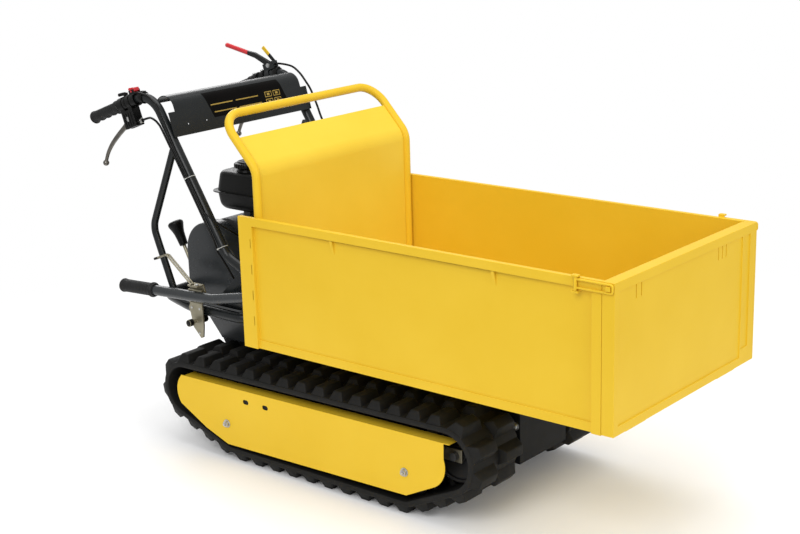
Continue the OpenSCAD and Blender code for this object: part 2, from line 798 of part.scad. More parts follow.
// Air filter box on its carburettor, on the left of the cylinder
module air_filter() {
    color(black) translate([side_gear_x, 57, 585]) linear_extrude(100) rounded(70, 76, 14);
    color(cast) block([side_gear_x - 22, 55, 552], [side_gear_x + 26, 108, 584.9]);
}

module muffler() {
    color(black) union() {
        translate([side_gear_x, -112, 610]) linear_extrude(80) rounded(72, 106, 18);
        block([side_gear_x + 2, -46, 603], [side_gear_x + 30, -10, 612]);
        rod([side_gear_x + 36, -100, 655], [side_gear_x + 36, -128, 655], 12);
    }
}

// Handlebar

function at_side(p, y) = [p[0], y, p[1]];

module handlebar(s) {
    path = [for (p = [bar_foot, bar_knee, bar_hip, bar_top, handle_end]) at_side(p, bar_y)];
    knee_turn = atan2(bar_knee[0] - bar_hip[0], bar_hip[1] - bar_knee[1]);
    knee_c = bar_knee - bar_bends[0] * [1, tan(knee_turn / 2)];
    gusset = concat([bar_foot + [1 - bar_r, 0.5], bar_foot + [-127, 0.5], bar_foot + [-127, 11]],
        arc_points(knee_c, bar_bends[0] + 1 - bar_r, 58, 16, 4));
    color(frame_grey) on_side(s) union() {
        bent_tube(path, bar_bends, bar_r, tube_wall);
        upright(bar_y - 2.5, 5) polygon(gusset);
        block([bar_foot[0] - 20, bar_y - 16, bar_foot[1]], [bar_foot[0] + 20, bar_y + 22, bar_foot[1] + 5]);
    }
}

module handlebar_right() { handlebar(-1); }
module handlebar_left() { handlebar(1); }

module handlebar_braces() {
    path = [for (p = [brace_top, brace_bend, brace_foot]) at_side(p, bar_y)];
    color(frame_grey) for (s = [-1, 1]) on_side(s) bent_tube(path, [55], brace_r, tube_wall);
}

panel_lean = atan2(panel_foot[0] - panel_bend[0], panel_bend[1] - panel_foot[1]);
roll_c = panel_bend - panel_roll_r * [cos(panel_lean), sin(panel_lean)];
function panel_side(r) = concat([panel_foot + (r - panel_roll_r) * [cos(panel_lean), sin(panel_lean)]],
    arc_points(roll_c, r, panel_lean, 200, 24));
panel_profile = concat(panel_side(panel_roll_r),
    [for (i = [25:-1:0]) panel_side(panel_roll_r - panel_t)[i]]);

// Flat wings beside the roll, in front of the handlebar tubes
panel_wing_h = 65;
panel_out = [cos(panel_lean), sin(panel_lean)];
panel_up = [-sin(panel_lean), cos(panel_lean)];
panel_wing = [panel_foot, panel_foot + panel_wing_h * panel_up,
    panel_foot + panel_wing_h * panel_up - panel_t * panel_out, panel_foot - panel_t * panel_out];

module control_panel() {
    color(frame_grey) difference() {
        union() {
            upright(-panel_y, 2 * panel_y) polygon(panel_profile);
            for (s = [-1, 1]) on_side(s) {
                upright(panel_y - 1, bar_y + 8 - panel_y) polygon(panel_wing);
                block([panel_foot[0] - 27, panel_y - 20, panel_foot[1] + 6],
                    [panel_foot[0] - 3, panel_y + 3 - seat_gap, panel_foot[1] + 10]);
            }
        }
        for (y = [-200, -135]) translate([panel_foot[0], y, panel_foot[1] + 26])
            rod([-40, 0, 0], [20, 0, 0], 2);
    }
}

// Places a shape on a handle: x runs forward from the handle's rear end, z is square to the tube
module on_handle(s) {
    on_side(s) translate(at_side(handle_end, bar_y)) rotate([0, -handle_slope, 0]) children();
}

module hand_grips() {
    color(rubber) for (s = [-1, 1]) on_handle(s) rotate([0, 90, 0]) difference() {
        union() {
            translate([0, 0, -7]) cylinder(r = grip_d / 2, h = grip_l);
            translate([0, 0, grip_l - 17]) cylinder(r = grip_d / 2 + 2, h = 8);
            translate([0, 0, -6]) cylinder(r = grip_d / 2 + 1.5, h = 7);
        }
        cylinder(r = bar_r + run_gap, h = grip_l + 1);
    }
}

perch_x = 120;
perch_l = 46;
perch_front = perch_x + perch_l;
lever_pivot = [140, -42];
switch_x = perch_front + 2;
switch_pin = [switch_x + 13, bar_r + 9];

// A clamp ring round a handle from x0 to x1
module clamp_ring(x0, x1, r) {
    translate([x0, 0, 0]) rotate([0, 90, 0]) cylinder(r = r, h = x1 - x0);
}

// Clamps and lever housing on each handle, with the switch base on the right one
module lever_perches() {
    ring = bar_r + 7;
    low = -66;
    roof = -ring + 0.5;
    color(black) for (s = [-1, 1]) on_handle(s) difference() {
        union() {
            clamp_ring(perch_x - 6, perch_x + 16, ring);
            clamp_ring(perch_front - 14, perch_front, ring);
            for (x = [[perch_x, perch_x + 16], [perch_front - 14, perch_front]])
                block([x[0], -14, roof - 5], [x[1], 14, -bar_r + 2]);
            for (y = [-14, 3.5]) block([perch_x, y, low], [perch_front, y + 10.5, roof]);
            block([perch_front - 6, -14, low], [perch_front, 14, roof]);
            translate([perch_front - 1, 0, -57]) rotate([0, 90, 0]) cylinder(r = 6, h = 14);
            if (s < 0) {
                clamp_ring(switch_x, switch_x + 18, bar_r + 6);
                block([switch_x + 3, -12, bar_r - 2], [switch_x + 23, 12, bar_r + 13]);
            }
        }
        clamp_ring(perch_x - 10, perch_front + 40, bar_r + run_gap);
        shaft(lever_pivot, -20, 20, 4 + run_gap);
        if (s < 0) {
            block([switch_x, -9.4, bar_r + 3.5], [switch_x + 30, 9.4, bar_r + 30]);
            shaft(switch_pin, -20, 20, 3 + run_gap);
        }
    }
}

// Curved lever that hangs below its grip
module steering_lever(s) {
    tip = [-17, -124];
    color(cast) on_handle(s) union() {
        upright(-3.2, 6.4) polygon(concat(arc_points(lever_pivot, 10, -60, 110, 12),
            [[120, -40], [100, -50], [64, -63], [28, -79], [0, -99]], arc_points(tip, 8, 130, 320, 8),
            [[8, -106], [36, -90], [68, -75], [104, -63], [128, -56]]));
        shaft(lever_pivot, -13.5, 13.5, 4);
    }
}

module steering_lever_right() { steering_lever(-1); }
module steering_lever_left() { steering_lever(1); }

module switch_rocker() {
    color(red) on_handle(-1) union() {
        upright(-9, 18) translate(switch_pin)
            polygon([[-11, -2], [11, -2], [12, 8], [0, 5], [-12, 11]]);
        shaft(switch_pin, -12, 12, 3);
    }
}

throttle_x = perch_x + 18;

module throttle_lever() {
    color(black) on_handle(-1) translate([throttle_x, 0, 0]) union() {
        rotate([0, 90, 0]) difference() {
            cylinder(r = bar_r + 6, h = 12);
            translate([0, 0, -1]) cylinder(r = bar_r + run_gap, h = 20);
        }
        block([1, -5, bar_r + 5], [11, 5, bar_r + 14]);
        rod([6, 0, bar_r + 12], [-16, 4, bar_r + 14.5], 4.5);
    }
}

clutch_x = perch_front + 10;
clutch_pivot = [clutch_x + 14, bar_r + 11.5];
lock_pivot = [clutch_x + 29, bar_r + 14];

// Bracket of the drive lever on the left handle
module clutch_bracket() {
    color(frame_grey) on_handle(1) difference() {
        union() {
            clamp_ring(clutch_x - 9.5, clutch_x + 10, bar_r + 3);
            for (y = [-10, 6]) block([clutch_x - 8, y, bar_r - 1], [clutch_x + 34, y + 4, bar_r + 20]);
            block([clutch_x + 24.5, -10, bar_r + 4], [clutch_x + 34, 10, bar_r + 20]);
        }
        clamp_ring(clutch_x - 30, clutch_x + 50, bar_r + run_gap);
        shaft(clutch_pivot, -20, 20, 4 + run_gap);
        shaft(lock_pivot, -20, 20, 2.5 + run_gap);
    }
}

module clutch_lever() {
    color(red) on_handle(1) union() {
        shaft(clutch_pivot, -9.8, 9.8, 4);
        upright(-5, 10) polygon(concat(arc_points(clutch_pivot, 9, -100, 50, 10),
            [[clutch_x - 30, bar_r + 61.5], [clutch_x - 56, bar_r + 75], [clutch_x - 60, bar_r + 64],
            [clutch_x - 34, bar_r + 47]]));
        rod([clutch_x - 58, 0, bar_r + 69.5], [clutch_x - 134, 0, bar_r + 116.5], 6.5);
    }
}

module lever_lock() {
    color(yellow) on_handle(1) union() {
        shaft(lock_pivot, -12.5, 12.5, 2.5);
        upright(10.2, 2.3) translate(lock_pivot) polygon([[-6, -6.5], [5, -6.5], [-30, 57.5], [-40, 53.5]]);
    }
}

module gear_lever() {
    knob_h = 66;
    color(black) translate([gear_pivot[0], gear_y, gear_pivot[1]]) rotate([0, -gear_lean, 0]) union() {
        rotate([-90, 0, 0]) translate([0, 0, -7 + seat_gap]) cylinder(r = 12, h = 14);
        rotate([-90, 0, 0]) translate([0, 0, -13]) cylinder(r = 5, h = 14);
        cylinder(r = 5, h = 150);
        translate([0, 0, 148]) rotate_extrude() polygon([[0, 0], [10, 0], [11, 6], [13, 34], [18, 52],
            [20, 59], [18, 64], [12, knob_h], [0, knob_h]]);
    }
}

// Cable routes, from each lever down the outside of its tube to the frame or the engine

// Point on a handle, given as the handle's own x and z, at the distance y from the middle plane
function on_grip(x, z, y) = [handle_end[0] + x * cos(handle_slope) - z * sin(handle_slope), y,
    handle_end[1] + x * sin(handle_slope) + z * cos(handle_slope)];

// Points down the outside of a handlebar tube, d in front of its axis, at the shares f of its length
function down_bar(y, d, f) = [for (k = f)
    let (q = bar_hip + k * (bar_top - bar_hip) + d * bar_front) [q[0], y, q[1]]];

nipple_x = perch_front + 13;
beside = bar_y + bar_r + 2.5 + seat_gap;
bend_x = handle_run / cos(handle_slope) - 57;
steer_route = concat([on_grip(nipple_x, -57, bar_y), on_grip(nipple_x + 12, -57, bar_y),
    [-600, bar_y + 3, 872], [-586, bar_y + 8, 874], [-567, bar_y + 12, 870], [-552, beside, 863],
    [-540, beside + 1, 851]], down_bar(beside, -5.5, [0.654, 0.545, 0.435, 0.326, 0.217, 0.09]),
    [[-366, bar_y + 12, 552], [-353, bar_y + 7, 530], [-345, bar_y + 1, 511], [-332, bar_y - 7, 482],
    [-328, 215, 440], [-330, 175, 410], [-330, 144, 392], [-330, 116, 374], [-330, 104, 368],
    [-330, frame_y, 368]]);
right_steer_route = [for (q = steer_route) [q[0], -q[1], q[2]]];
throttle_route = concat([on_grip(switch_x + 23.2, bar_r + 1.5, -bar_y - 10.7),
    on_grip(switch_x + 32, bar_r + 0.5, -bar_y - 10.7)],
    [for (a = [68, 50, 32, 16]) on_grip(bend_x + (bar_r + 69.5) * cos(a), (bar_r + 69.5) * sin(a) - 70,
        -bar_y - 11 - (68 - a) / 17)],
    down_bar(-beside, 5.5, [0.654, 0.545, 0.435, 0.326, 0.26]), [[-388, -bar_y - 14, 642],
    [-372, -bar_y - 4, 626], [-358, -bar_y + 14, 608], [-350, -206, 586], [-352, -166, 562],
    [-364, -124, 542], [-384, -84, 528], [-404, -64, 521], [-416, -60, 520], [crank[0] + 92, -60, 520]]);
clutch_route = concat([on_grip(clutch_x + 34.2, bar_r + 9, bar_y),
    on_grip(clutch_x + 46, bar_r + 7, bar_y + 1), [-583, bar_y + 3, 948], [-562, bar_y + 6, 942],
    [-541, bar_y + 9, 926], [-524, bar_y + 12, 905],
    [-510, bar_y + 15, 884], [-497, bar_y + 16, 858], [-487, bar_y + 17, 835], [-478, bar_y + 17.5, 812],
    [-465, bar_y + 17, 785]], down_bar(beside, 5.5, [0.435, 0.326, 0.217]), [[-358, bar_y + 18, 584],
    [-340, bar_y + 18, 548], [-330, bar_y + 18, 520], [-322, bar_y + 12, 508], [-314, bar_y - 14, 490],
    [-306, 206, 450], [-301, 170, 412], [-298, 140, 388], [-298, 116, 374], [-298, 106, 369],
    [-298, frame_y, 369]]);

module control_cables() {
    color(black) {
        cable(right_steer_route, 3);
        cable(steer_route, 3);
        cable(throttle_route, 2.5);
        cable(clutch_route, 3);
    }
}

// Load box

module box_floor() {
    inner = side_y - sheet_t;
    knuckle_step = gate_knuckle_l / 2 + 10 + seat_gap;
    knuckle_foot = gate_hinge_z - gate_knuckle_r;
    color(yellow) difference() {
        union() {
            block([box_rear, -inner, box_floor_z], [side_front, inner, box_floor_z + sheet_t]);
            for (s = [-1, 1]) on_side(s) difference() {
                union() {
                    block([rest_x[0], under_y0, under_z], [tip_pin_x + 24, under_y1, box_floor_z]);
                    shaft([tip_pin_x, tip_pin_z], under_y0, under_y1, 18);
                }
                block([rest_x[0] - 1, under_y0 + 3, under_z + 3],
                    [tip_pin_x - 30, under_y1 - 3, box_floor_z - 3]);
            }
            for (s = [-1, 1], e = [-1, 1]) on_side(s) translate([0, gate_hinge_y + e * knuckle_step, 0]) {
                shaft([gate_hinge_x, gate_hinge_z], -10, 10, gate_knuckle_r);
                block([side_front - 30, -10, knuckle_foot], [gate_hinge_x, 10, gate_hinge_z]);
                block([side_front - 30, -10, knuckle_foot], [side_front, 10, box_floor_z + 1]);
            }
        }
        shaft([tip_pin_x, tip_pin_z], -frame_y, frame_y, tip_pin_d / 2 + run_gap);
        block([head_x - head_r - 2, -inner - 1, head_seat],
            [head_x + head_r + 2, inner + 1, box_floor_z + sheet_t + 1]);
        for (s = [-1, 1]) on_side(s)
            shaft([gate_hinge_x, gate_hinge_z], gate_hinge_y - 60, gate_hinge_y + 60, gate_pin_r + run_gap);
    }
}

rib_x = [68, 534];

module box_side(s) {
    slit_n = 4;
    fold_y = box_y - sheet_t;
    color(yellow) on_side(s) difference() {
        union() {
            block([box_rear, side_y - sheet_t, box_floor_z], [side_front, side_y, box_top]);
            block([box_rear, side_y - sheet_t, box_top - rail_h], [side_front, box_y, box_top]);
            block([box_rear, side_y - sheet_t, box_floor_z], [box_rear + rear_post_w, box_y, box_top]);
            block([side_front - front_post_w, side_y - sheet_t, box_floor_z], [side_front, box_y, box_top]);
            block([box_rear, side_y - sheet_t, box_floor_z], [side_front, side_y + 3, box_floor_z + 22]);
            for (x = rib_x) translate([x - 4, 0, 0]) rotate([90, 0, 90]) linear_extrude(8)
                polygon([[side_y - 1, box_top - rail_h + 1], [box_y, box_top - rail_h + 1],
                    [side_y, box_top - 58], [side_y - 1, box_top - 58]]);
            for (z = [bail_z0 - 11, bail_z1 + 5.4])
                block([bail_x - 8, box_y - 1.5, z], [bail_x + 8, bail_y + 5, z + 4]);
            block([bail_x - 8, box_y - 1.5, bail_z0 - 11], [bail_x + 8, box_y + 0.5, bail_z1 + 9.4]);
        }
        block([box_rear - 1, side_y, box_top - rail_h + sheet_t],
            [side_front + 1, fold_y, box_top - sheet_t]);
        for (x = [box_rear + sheet_t, side_front - front_post_w + sheet_t])
            block([x, side_y, box_floor_z - 1],
                [x + (x < 0 ? rear_post_w : front_post_w) - 2 * sheet_t, fold_y, box_top - rail_h]);
        for (i = [0:slit_n - 1])
            block([box_rear + rear_post_w - 8, fold_y - 1, box_floor_z + 60 + i * 66],
                [box_rear + rear_post_w - 6, box_y + 1, box_floor_z + 84 + i * 66]);
        translate([bail_x, bail_y, box_floor_z]) cylinder(r = bail_wire_r + run_gap, h = 2 * box_h);
    }
}

module box_side_right() { box_side(-1); }
module box_side_left() { box_side(1); }

head_tilt = atan2(head_lean, head_rise - head_bend_h);
head_bend_z = box_top + head_bend_h;

module headboard_frame() {
    top = [head_x - head_lean, box_top + head_rise];
    path = [[head_x, -head_y, head_seat], [head_x, -head_y, head_bend_z], [top[0], -head_y, top[1]],
        [top[0], head_y, top[1]], [head_x, head_y, head_bend_z], [head_x, head_y, head_seat]];
    bends = [head_bend_r, head_corner_r, head_corner_r, head_bend_r];
    color(yellow) bent_tube(path, bends, head_r, tube_wall);
}

// Bent sheet of the headboard: its profile follows the tubes at a distance d in front of their axis
head_leg = norm([head_lean, head_rise - head_bend_h]);
head_sheet_top = min(head_sheet_h - head_bend_h, (head_leg - head_corner_r - 2) * cos(head_tilt));
function head_line(d) =
    let (reach = head_bend_r * tan(head_tilt / 2), c = [head_x - head_bend_r, head_bend_z - reach],
        top = head_sheet_top, r = head_bend_r + d)
    concat([[head_x + d, head_seat]], arc_points(c, r, 0, head_tilt, 8),
        [[head_x - top * tan(head_tilt) + d * cos(head_tilt), head_bend_z + top + d * sin(head_tilt)]]);

module headboard_sheet() {
    front = head_line(sheet_t / 2);
    back = head_line(-sheet_t / 2);
    half = head_y - head_r - 0.2;
    color(yellow) upright(-half, 2 * half)
        polygon(concat(front, [for (i = [len(back) - 1:-1:0]) back[i]]));
}

module front_gate() {
    z0 = box_floor_z + 2;
    x0 = box_front - gate_t;
    lip = 18;
    far_lip = 67;
    knuckle_y = [gate_hinge_y - gate_knuckle_l / 2, gate_hinge_y + gate_knuckle_l / 2];
    color(yellow) difference() {
        union() {
            block([x0, -box_y, z0], [box_front, box_y, box_top]);
            for (s = [-1, 1]) on_side(s) {
                shaft([gate_hinge_x, gate_hinge_z], knuckle_y[0], knuckle_y[1], gate_knuckle_r);
                shaft([gate_hinge_x, gate_hinge_z], gate_hinge_y - 38, gate_hinge_y + 38, gate_pin_r);
                block([gate_hinge_x - gate_knuckle_r, knuckle_y[0], gate_hinge_z],
                    [gate_hinge_x + gate_knuckle_r, knuckle_y[1], z0 + 1]);
                block([x0 + 13, box_y - 1, bail_z0 + 4], [box_front - 6, bail_y + 4, bail_z1 - 4]);
            }
        }
        block([x0 - 1, -box_y + sheet_t, z0 + sheet_t],
            [box_front - sheet_t - 4, box_y - sheet_t, box_top - sheet_t]);
        block([box_front - 3, -box_y + lip, z0 + 20], [box_front + 1, box_y - far_lip, box_top - rail_h]);
        for (y = [-220, -199, 133, 151, 169])
            block([x0, y - 1.5, box_top - rail_h - 32], [box_front + 1, y + 1.5, box_top - rail_h - 2]);
        block([box_front - 3, box_y - far_lip + 6, z0 + 40], [box_front + 1, box_y - 30, box_top - rail_h]);
    }
}

module gate_latch(s) {
    front = box_front - 2;
    color(yellow) on_side(s) union() {
        bent_tube([[bail_x, bail_y, bail_z1], [front, bail_y, bail_z1], [front, bail_y, bail_z0],
            [bail_x, bail_y, bail_z0]], [5, 5], bail_wire_r);
        translate([bail_x, bail_y, bail_z0 - 6.6]) cylinder(r = 4, h = bail_z1 - bail_z0 + 11.6);
        translate([bail_x, bail_y, bail_z0 - 10.8]) cylinder(r = bail_wire_r, h = bail_z1 - bail_z0 + 20);
    }
}

module gate_latch_right() { gate_latch(-1); }
module gate_latch_left() { gate_latch(1); }

module tip_hinge_pin() {
    color(zinc) union() {
        shaft([tip_pin_x, tip_pin_z], -frame_y - 8, frame_y + 8, tip_pin_d / 2);
        for (s = [-1, 1]) on_side(s)
            shaft([tip_pin_x, tip_pin_z], frame_y + seat_gap, frame_y + 6, tip_pin_d / 2 + 5);
    }
}

// Handle on the box for lifting it, which falls towards its rear end
tip_rise = 25;
tip_knee = latch_x1 + 40;
tip_slope = 2.87;

// Places a shape on the handle's straight part: x runs forward to its bend, z is square to the tube
module on_tip_bar() {
    translate([tip_knee, -tip_bar_y, tip_bar_z]) rotate([0, -tip_slope, 0]) children();
}

module tip_handle() {
    foot_z = tip_bar_z + tip_rise;
    end_z = tip_bar_z - (tip_bar_end + tip_knee) * tan(tip_slope);
    color(frame_grey) union() {
        bent_tube([[-tip_bar_end, -tip_bar_y, end_z], [tip_knee, -tip_bar_y, tip_bar_z],
            [box_rear - 4, -tip_bar_y, foot_z]], [120], tip_bar_d / 2, tube_wall);
        block([box_rear - 5, -tip_bar_y - 14, foot_z - 30], [box_rear, -tip_bar_y + 18, foot_z + 30]);
    }
}

module tip_grip() {
    rear = -(tip_bar_end + tip_knee) / cos(tip_slope) - 5;
    color(rubber) on_tip_bar() translate([rear, 0, 0]) rotate([0, 90, 0]) difference() {
        union() {
            cylinder(r = tip_bar_d / 2 + 3.5, h = tip_grip_l);
            translate([0, 0, tip_grip_l - 10]) cylinder(r = tip_bar_d / 2 + 6, h = 10);
            cylinder(r = tip_bar_d / 2 + 5, h = 8);
        }
        translate([0, 0, 5]) cylinder(r = tip_bar_d / 2 + run_gap, h = tip_grip_l);
    }
}

// Swinging plate under the handle: its sleeved pin hooks below the rear loop, and its clip and
// bracket reach round the far side of the tube to the wire lever
module tip_latch() {
    r = tip_bar_d / 2;
    top = tip_bar_z - 3.3 - r;
    clip_l = latch_x1 - latch_x0;
    crown = tip_bar_z + r + 9;
    back_y = -tip_bar_y + r + 1;
    wire = [[-434, -tip_bar_y, crown + 5], [-522, -tip_bar_y, 527], [-566, -tip_bar_y, 510]];
    color(zinc) difference() {
        union() {
            on_tip_bar() translate([latch_x0 - tip_knee, 0, 0]) rotate([0, 90, 0]) difference() {
                cylinder(r = r + 4, h = clip_l);
                translate([-2 * r, -4 * r, -1]) cube([4 * r, 4 * r, clip_l + 2]);
            }
            upright(-tip_bar_y - 1.5, 5) polygon([[latch_x0 + 8, top - 2], [latch_x1, top - 2],
                [latch_x1 + 2, top - 60], [latch_x1 - 2, top - 92], [latch_x1 - 10, top - 96],
                [latch_x1 - 36, top - 70], [latch_x0 + 6, top - 34], [latch_x0, top - 18]]);
            upright(back_y, 4) polygon([[latch_x0 - 28, crown - 30], [latch_x0 - 5, crown - 6],
                [latch_x0 + 12, crown + 3], [latch_x1 - 9, crown + 3], [latch_x1 - 2, crown - 15],
                [latch_x1 - 2, crown - 40], [latch_x0 - 18, crown - 40]]);
            block([latch_x0 + 6, -tip_bar_y - 7, crown], [latch_x1 - 9, back_y + 4, crown + 4]);
            shaft([latch_pin_x, latch_pin_z], -tip_bar_y - 26, -tip_bar_y + 34, 5);
            shaft([latch_pin_x, latch_pin_z], -tip_bar_y - 28, -tip_bar_y - 14, 9);
            shaft([latch_pin_x, latch_pin_z], -tip_bar_y + 4, -tip_bar_y + 34, 10);
            for (d = [-4, 4]) bent_tube([for (p = wire) p + [0, d, 0]], [12], 2.5);
        }
        on_tip_bar() translate([latch_x0 - tip_knee - 40, 0, 0]) rotate([0, 90, 0])
            cylinder(r = r + run_gap, h = clip_l + 50);
    }
}

chassis_frame();
rear_loop();
track_frame_right();
track_frame_left();
side_cover_right();
side_cover_left();
track_belt_right();
track_belt_left();
drive_sprocket_right();
drive_sprocket_left();
idler_wheel_right();
idler_wheel_left();
roller_right_1();
roller_right_2();
roller_right_3();
roller_left_1();
roller_left_2();
roller_left_3();
wheel_axles();
track_tensioners();
gearbox();
gearbox_pulley();
drive_belt();
tension_arm();
belt_cover();
engine_block();
recoil_starter();
engine_pulley();
fuel_tank();
fuel_cap();
air_filter();
muffler();
handlebar_right();
handlebar_left();
handlebar_braces();
control_panel();
hand_grips();
lever_perches();
steering_lever_right();
steering_lever_left();
clutch_bracket();
clutch_lever();
lever_lock();
switch_rocker();
throttle_lever();
gear_lever();
control_cables();
box_floor();
box_side_right();
box_side_left();
headboard_sheet();
headboard_frame();
front_gate();
gate_latch_right();
gate_latch_left();
tip_hinge_pin();
tip_handle();
tip_grip();
tip_latch();
zinc_bolts();
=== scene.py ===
"""Looks of the tracked power carrier: a yellow tipping box on rubber tracks, with the engine and
the handlebar at its rear. Lengths are millimetres and become metres when a piece is finished."""

import json
import math

import bmesh
import bpy
from mathutils import Matrix, Vector


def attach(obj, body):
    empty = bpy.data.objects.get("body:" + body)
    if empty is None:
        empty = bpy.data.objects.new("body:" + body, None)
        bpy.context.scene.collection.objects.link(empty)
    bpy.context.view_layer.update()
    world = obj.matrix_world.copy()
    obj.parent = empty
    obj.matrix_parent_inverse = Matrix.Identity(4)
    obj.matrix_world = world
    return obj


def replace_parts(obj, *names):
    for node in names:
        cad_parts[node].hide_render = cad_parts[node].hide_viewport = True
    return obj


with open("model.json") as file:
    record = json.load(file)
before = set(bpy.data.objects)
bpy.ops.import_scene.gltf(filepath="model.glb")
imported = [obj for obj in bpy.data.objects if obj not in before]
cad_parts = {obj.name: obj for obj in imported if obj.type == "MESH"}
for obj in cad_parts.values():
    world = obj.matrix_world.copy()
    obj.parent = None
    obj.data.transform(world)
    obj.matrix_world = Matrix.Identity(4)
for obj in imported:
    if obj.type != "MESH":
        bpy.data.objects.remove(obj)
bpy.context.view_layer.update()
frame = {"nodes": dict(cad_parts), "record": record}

MM = 0.001
SIDES = (("right", -1), ("left", 1))
BODY_OF = {n: b for b, ns in frame["record"]["behaviour"]["bodies"].items() for n in ns}
collection = bpy.context.scene.collection


# Finishes

CLOUD_RANGE = (0.35, 0.68)
SHEEN_FINENESS = 7
GRAIN_STRENGTH = 0.6
COAT_ROUGHNESS = 0.12


def srgb(red, green, blue):
    """Colour given as seen on a screen, 0 to 255, as linear values."""
    shares = [c / 255 for c in (red, green, blue)]
    return [c / 12.92 if c <= 0.04045 else ((c + 0.055) / 1.055) ** 2.4 for c in shares] + [1]


class Finish:
    """A procedural finish: two close tones in soft clouds, a grain in the surface and a sheen that
    varies with it. The grain's depth is in metres."""

    def __init__(self, name, tone, other, rough, metal=0.0, clouds=5.0, grain=700.0, depth=0.0001,
                 coat=0.0, shine=0.5):
        self.material = bpy.data.materials.new(name)
        self.material.use_nodes = True
        self.tree = self.material.node_tree
        self.tree.nodes.clear()
        self.out = self.node("ShaderNodeOutputMaterial")
        self.shader = self.node("ShaderNodeBsdfPrincipled")
        self.link(self.shader, "BSDF", self.out, "Surface")
        self.place = self.node("ShaderNodeTexCoord")
        self.shader.inputs["Metallic"].default_value = metal
        self.shader.inputs["Coat Weight"].default_value = coat
        self.shader.inputs["Specular IOR Level"].default_value = shine
        self.shader.inputs["Coat Roughness"].default_value = COAT_ROUGHNESS
        ramp = self.node("ShaderNodeValToRGB")
        for element, position, colour in zip(ramp.color_ramp.elements, CLOUD_RANGE, (tone, other)):
            element.position = position
            element.color = srgb(*colour)
        self.link(self.noise(clouds, 4), "Fac", ramp, "Fac")
        self.link(ramp, "Color", self.shader, "Base Color")
        sheen = self.node("ShaderNodeMapRange")
        sheen.inputs["To Min"].default_value = rough[0]
        sheen.inputs["To Max"].default_value = rough[1]
        self.link(self.noise(clouds * SHEEN_FINENESS, 3), "Fac", sheen, "Value")
        self.link(sheen, "Result", self.shader, "Roughness")
        bump = self.node("ShaderNodeBump")
        bump.inputs["Strength"].default_value = GRAIN_STRENGTH
        bump.inputs["Distance"].default_value = depth
        self.link(self.noise(grain, 2), "Fac", bump, "Height")
        self.link(bump, "Normal", self.shader, "Normal")

    def node(self, kind):
        return self.tree.nodes.new(kind)

    def link(self, a, out, b, into):
        self.tree.links.new(a.outputs[out], b.inputs[into])

    def noise(self, scale, detail):
        found = self.node("ShaderNodeTexNoise")
        found.inputs["Scale"].default_value = scale
        found.inputs["Detail"].default_value = detail
        self.link(self.place, "Object", found, "Vector")
        return found


FINISHES = {
    "yellow_paint": Finish(
        "yellow_powder_coat", (225, 185, 44), (229, 190, 51), (0.36, 0.44),
        grain=520, depth=0.00012, coat=0.02, shine=0.14),
    "grey_paint": Finish(
        "dark_grey_powder_coat", (38, 41, 43), (44, 47, 49), (0.2, 0.32),
        grain=620, depth=0.00014),
    "tube_paint": Finish(
        "dark_tube_coat", (20, 23, 24), (26, 29, 30), (0.22, 0.34),
        grain=620, depth=0.00012, shine=0.32),
    # Painted light: the same yellow coat, made paler and less saturated for the inside faces of the box, to
    # offset the yellow light bounced between them
    "yellow_paled_against_bounce": Finish(
        "yellow_powder_coat_paled_against_bounce", (230, 196, 60), (234, 201, 67), (0.38, 0.46),
        grain=520, depth=0.00012, shine=0.14),
    "frame_paint": Finish(
        "matt_frame_coat", (20, 21, 23), (26, 27, 28), (0.5, 0.62),
        grain=480, depth=0.00016, shine=0.12),
    "black_paint": Finish(
        "satin_black_paint", (17, 17, 18), (23, 23, 24), (0.36, 0.48),
        grain=500, depth=0.00012, shine=0.3),
    "black_rubber": Finish(
        "track_rubber", (15, 15, 13), (22, 21, 19), (0.56, 0.72),
        clouds=14, grain=260, depth=0.0004, shine=0.24),
    "grip_rubber": Finish(
        "grip_rubber", (20, 20, 20), (27, 27, 27), (0.5, 0.62),
        clouds=30, grain=1300, depth=0.0003, shine=0.3),
    "black_plastic": Finish(
        "black_moulded_plastic", (6, 6, 5), (9, 9, 8), (0.26, 0.38),
        clouds=20, grain=1100, depth=0.00016, shine=0.2),
    "red_plastic": Finish(
        "red_plastic", (188, 24, 34), (200, 32, 40), (0.28, 0.4),
        clouds=40, grain=900, depth=0.0001, coat=0.2),
    "cast_metal": Finish(
        "dark_cast_metal", (84, 85, 86), (98, 98, 98), (0.5, 0.64), 0.75,
        clouds=25, grain=420, depth=0.0004),
    "alloy": Finish(
        "cast_alloy", (176, 176, 172), (196, 196, 192), (0.26, 0.42), 0.9,
        clouds=40, grain=600, depth=0.00018),
    "polished_alloy": Finish(
        "polished_alloy", (104, 101, 95), (126, 122, 115), (0.16, 0.28), 1.0,
        clouds=30, grain=700, depth=0.00004),
    "zinc_plate": Finish(
        "yellow_zinc_plate", (142, 136, 116), (160, 154, 134), (0.34, 0.48), 0.8,
        clouds=35, grain=800, depth=0.00008),
    "bright_zinc": Finish(
        "bright_zinc_plate", (176, 177, 177), (196, 196, 194), (0.24, 0.36), 0.9,
        clouds=60, grain=800, depth=0.00006),
    "white_nylon": Finish(
        "white_nylon", (176, 178, 176), (192, 193, 190), (0.42, 0.55),
        clouds=60, grain=900, depth=0.00008),
    "panel_print": Finish(
        "panel_print_black", (6, 5, 4), (9, 7, 6), (0.3, 0.4),
        clouds=20, grain=900, depth=0.00004, shine=0.06),
    "gold_print": Finish(
        "panel_print_gold", (150, 124, 46), (164, 137, 58), (0.34, 0.44),
        clouds=60, grain=900, depth=0.00004),
}


# Shapes

MERGE = 0.00001
FLAT_ANGLE = math.radians(0.6)
EDGE_ANGLE = 28
FLAT_WEIGHT = 90


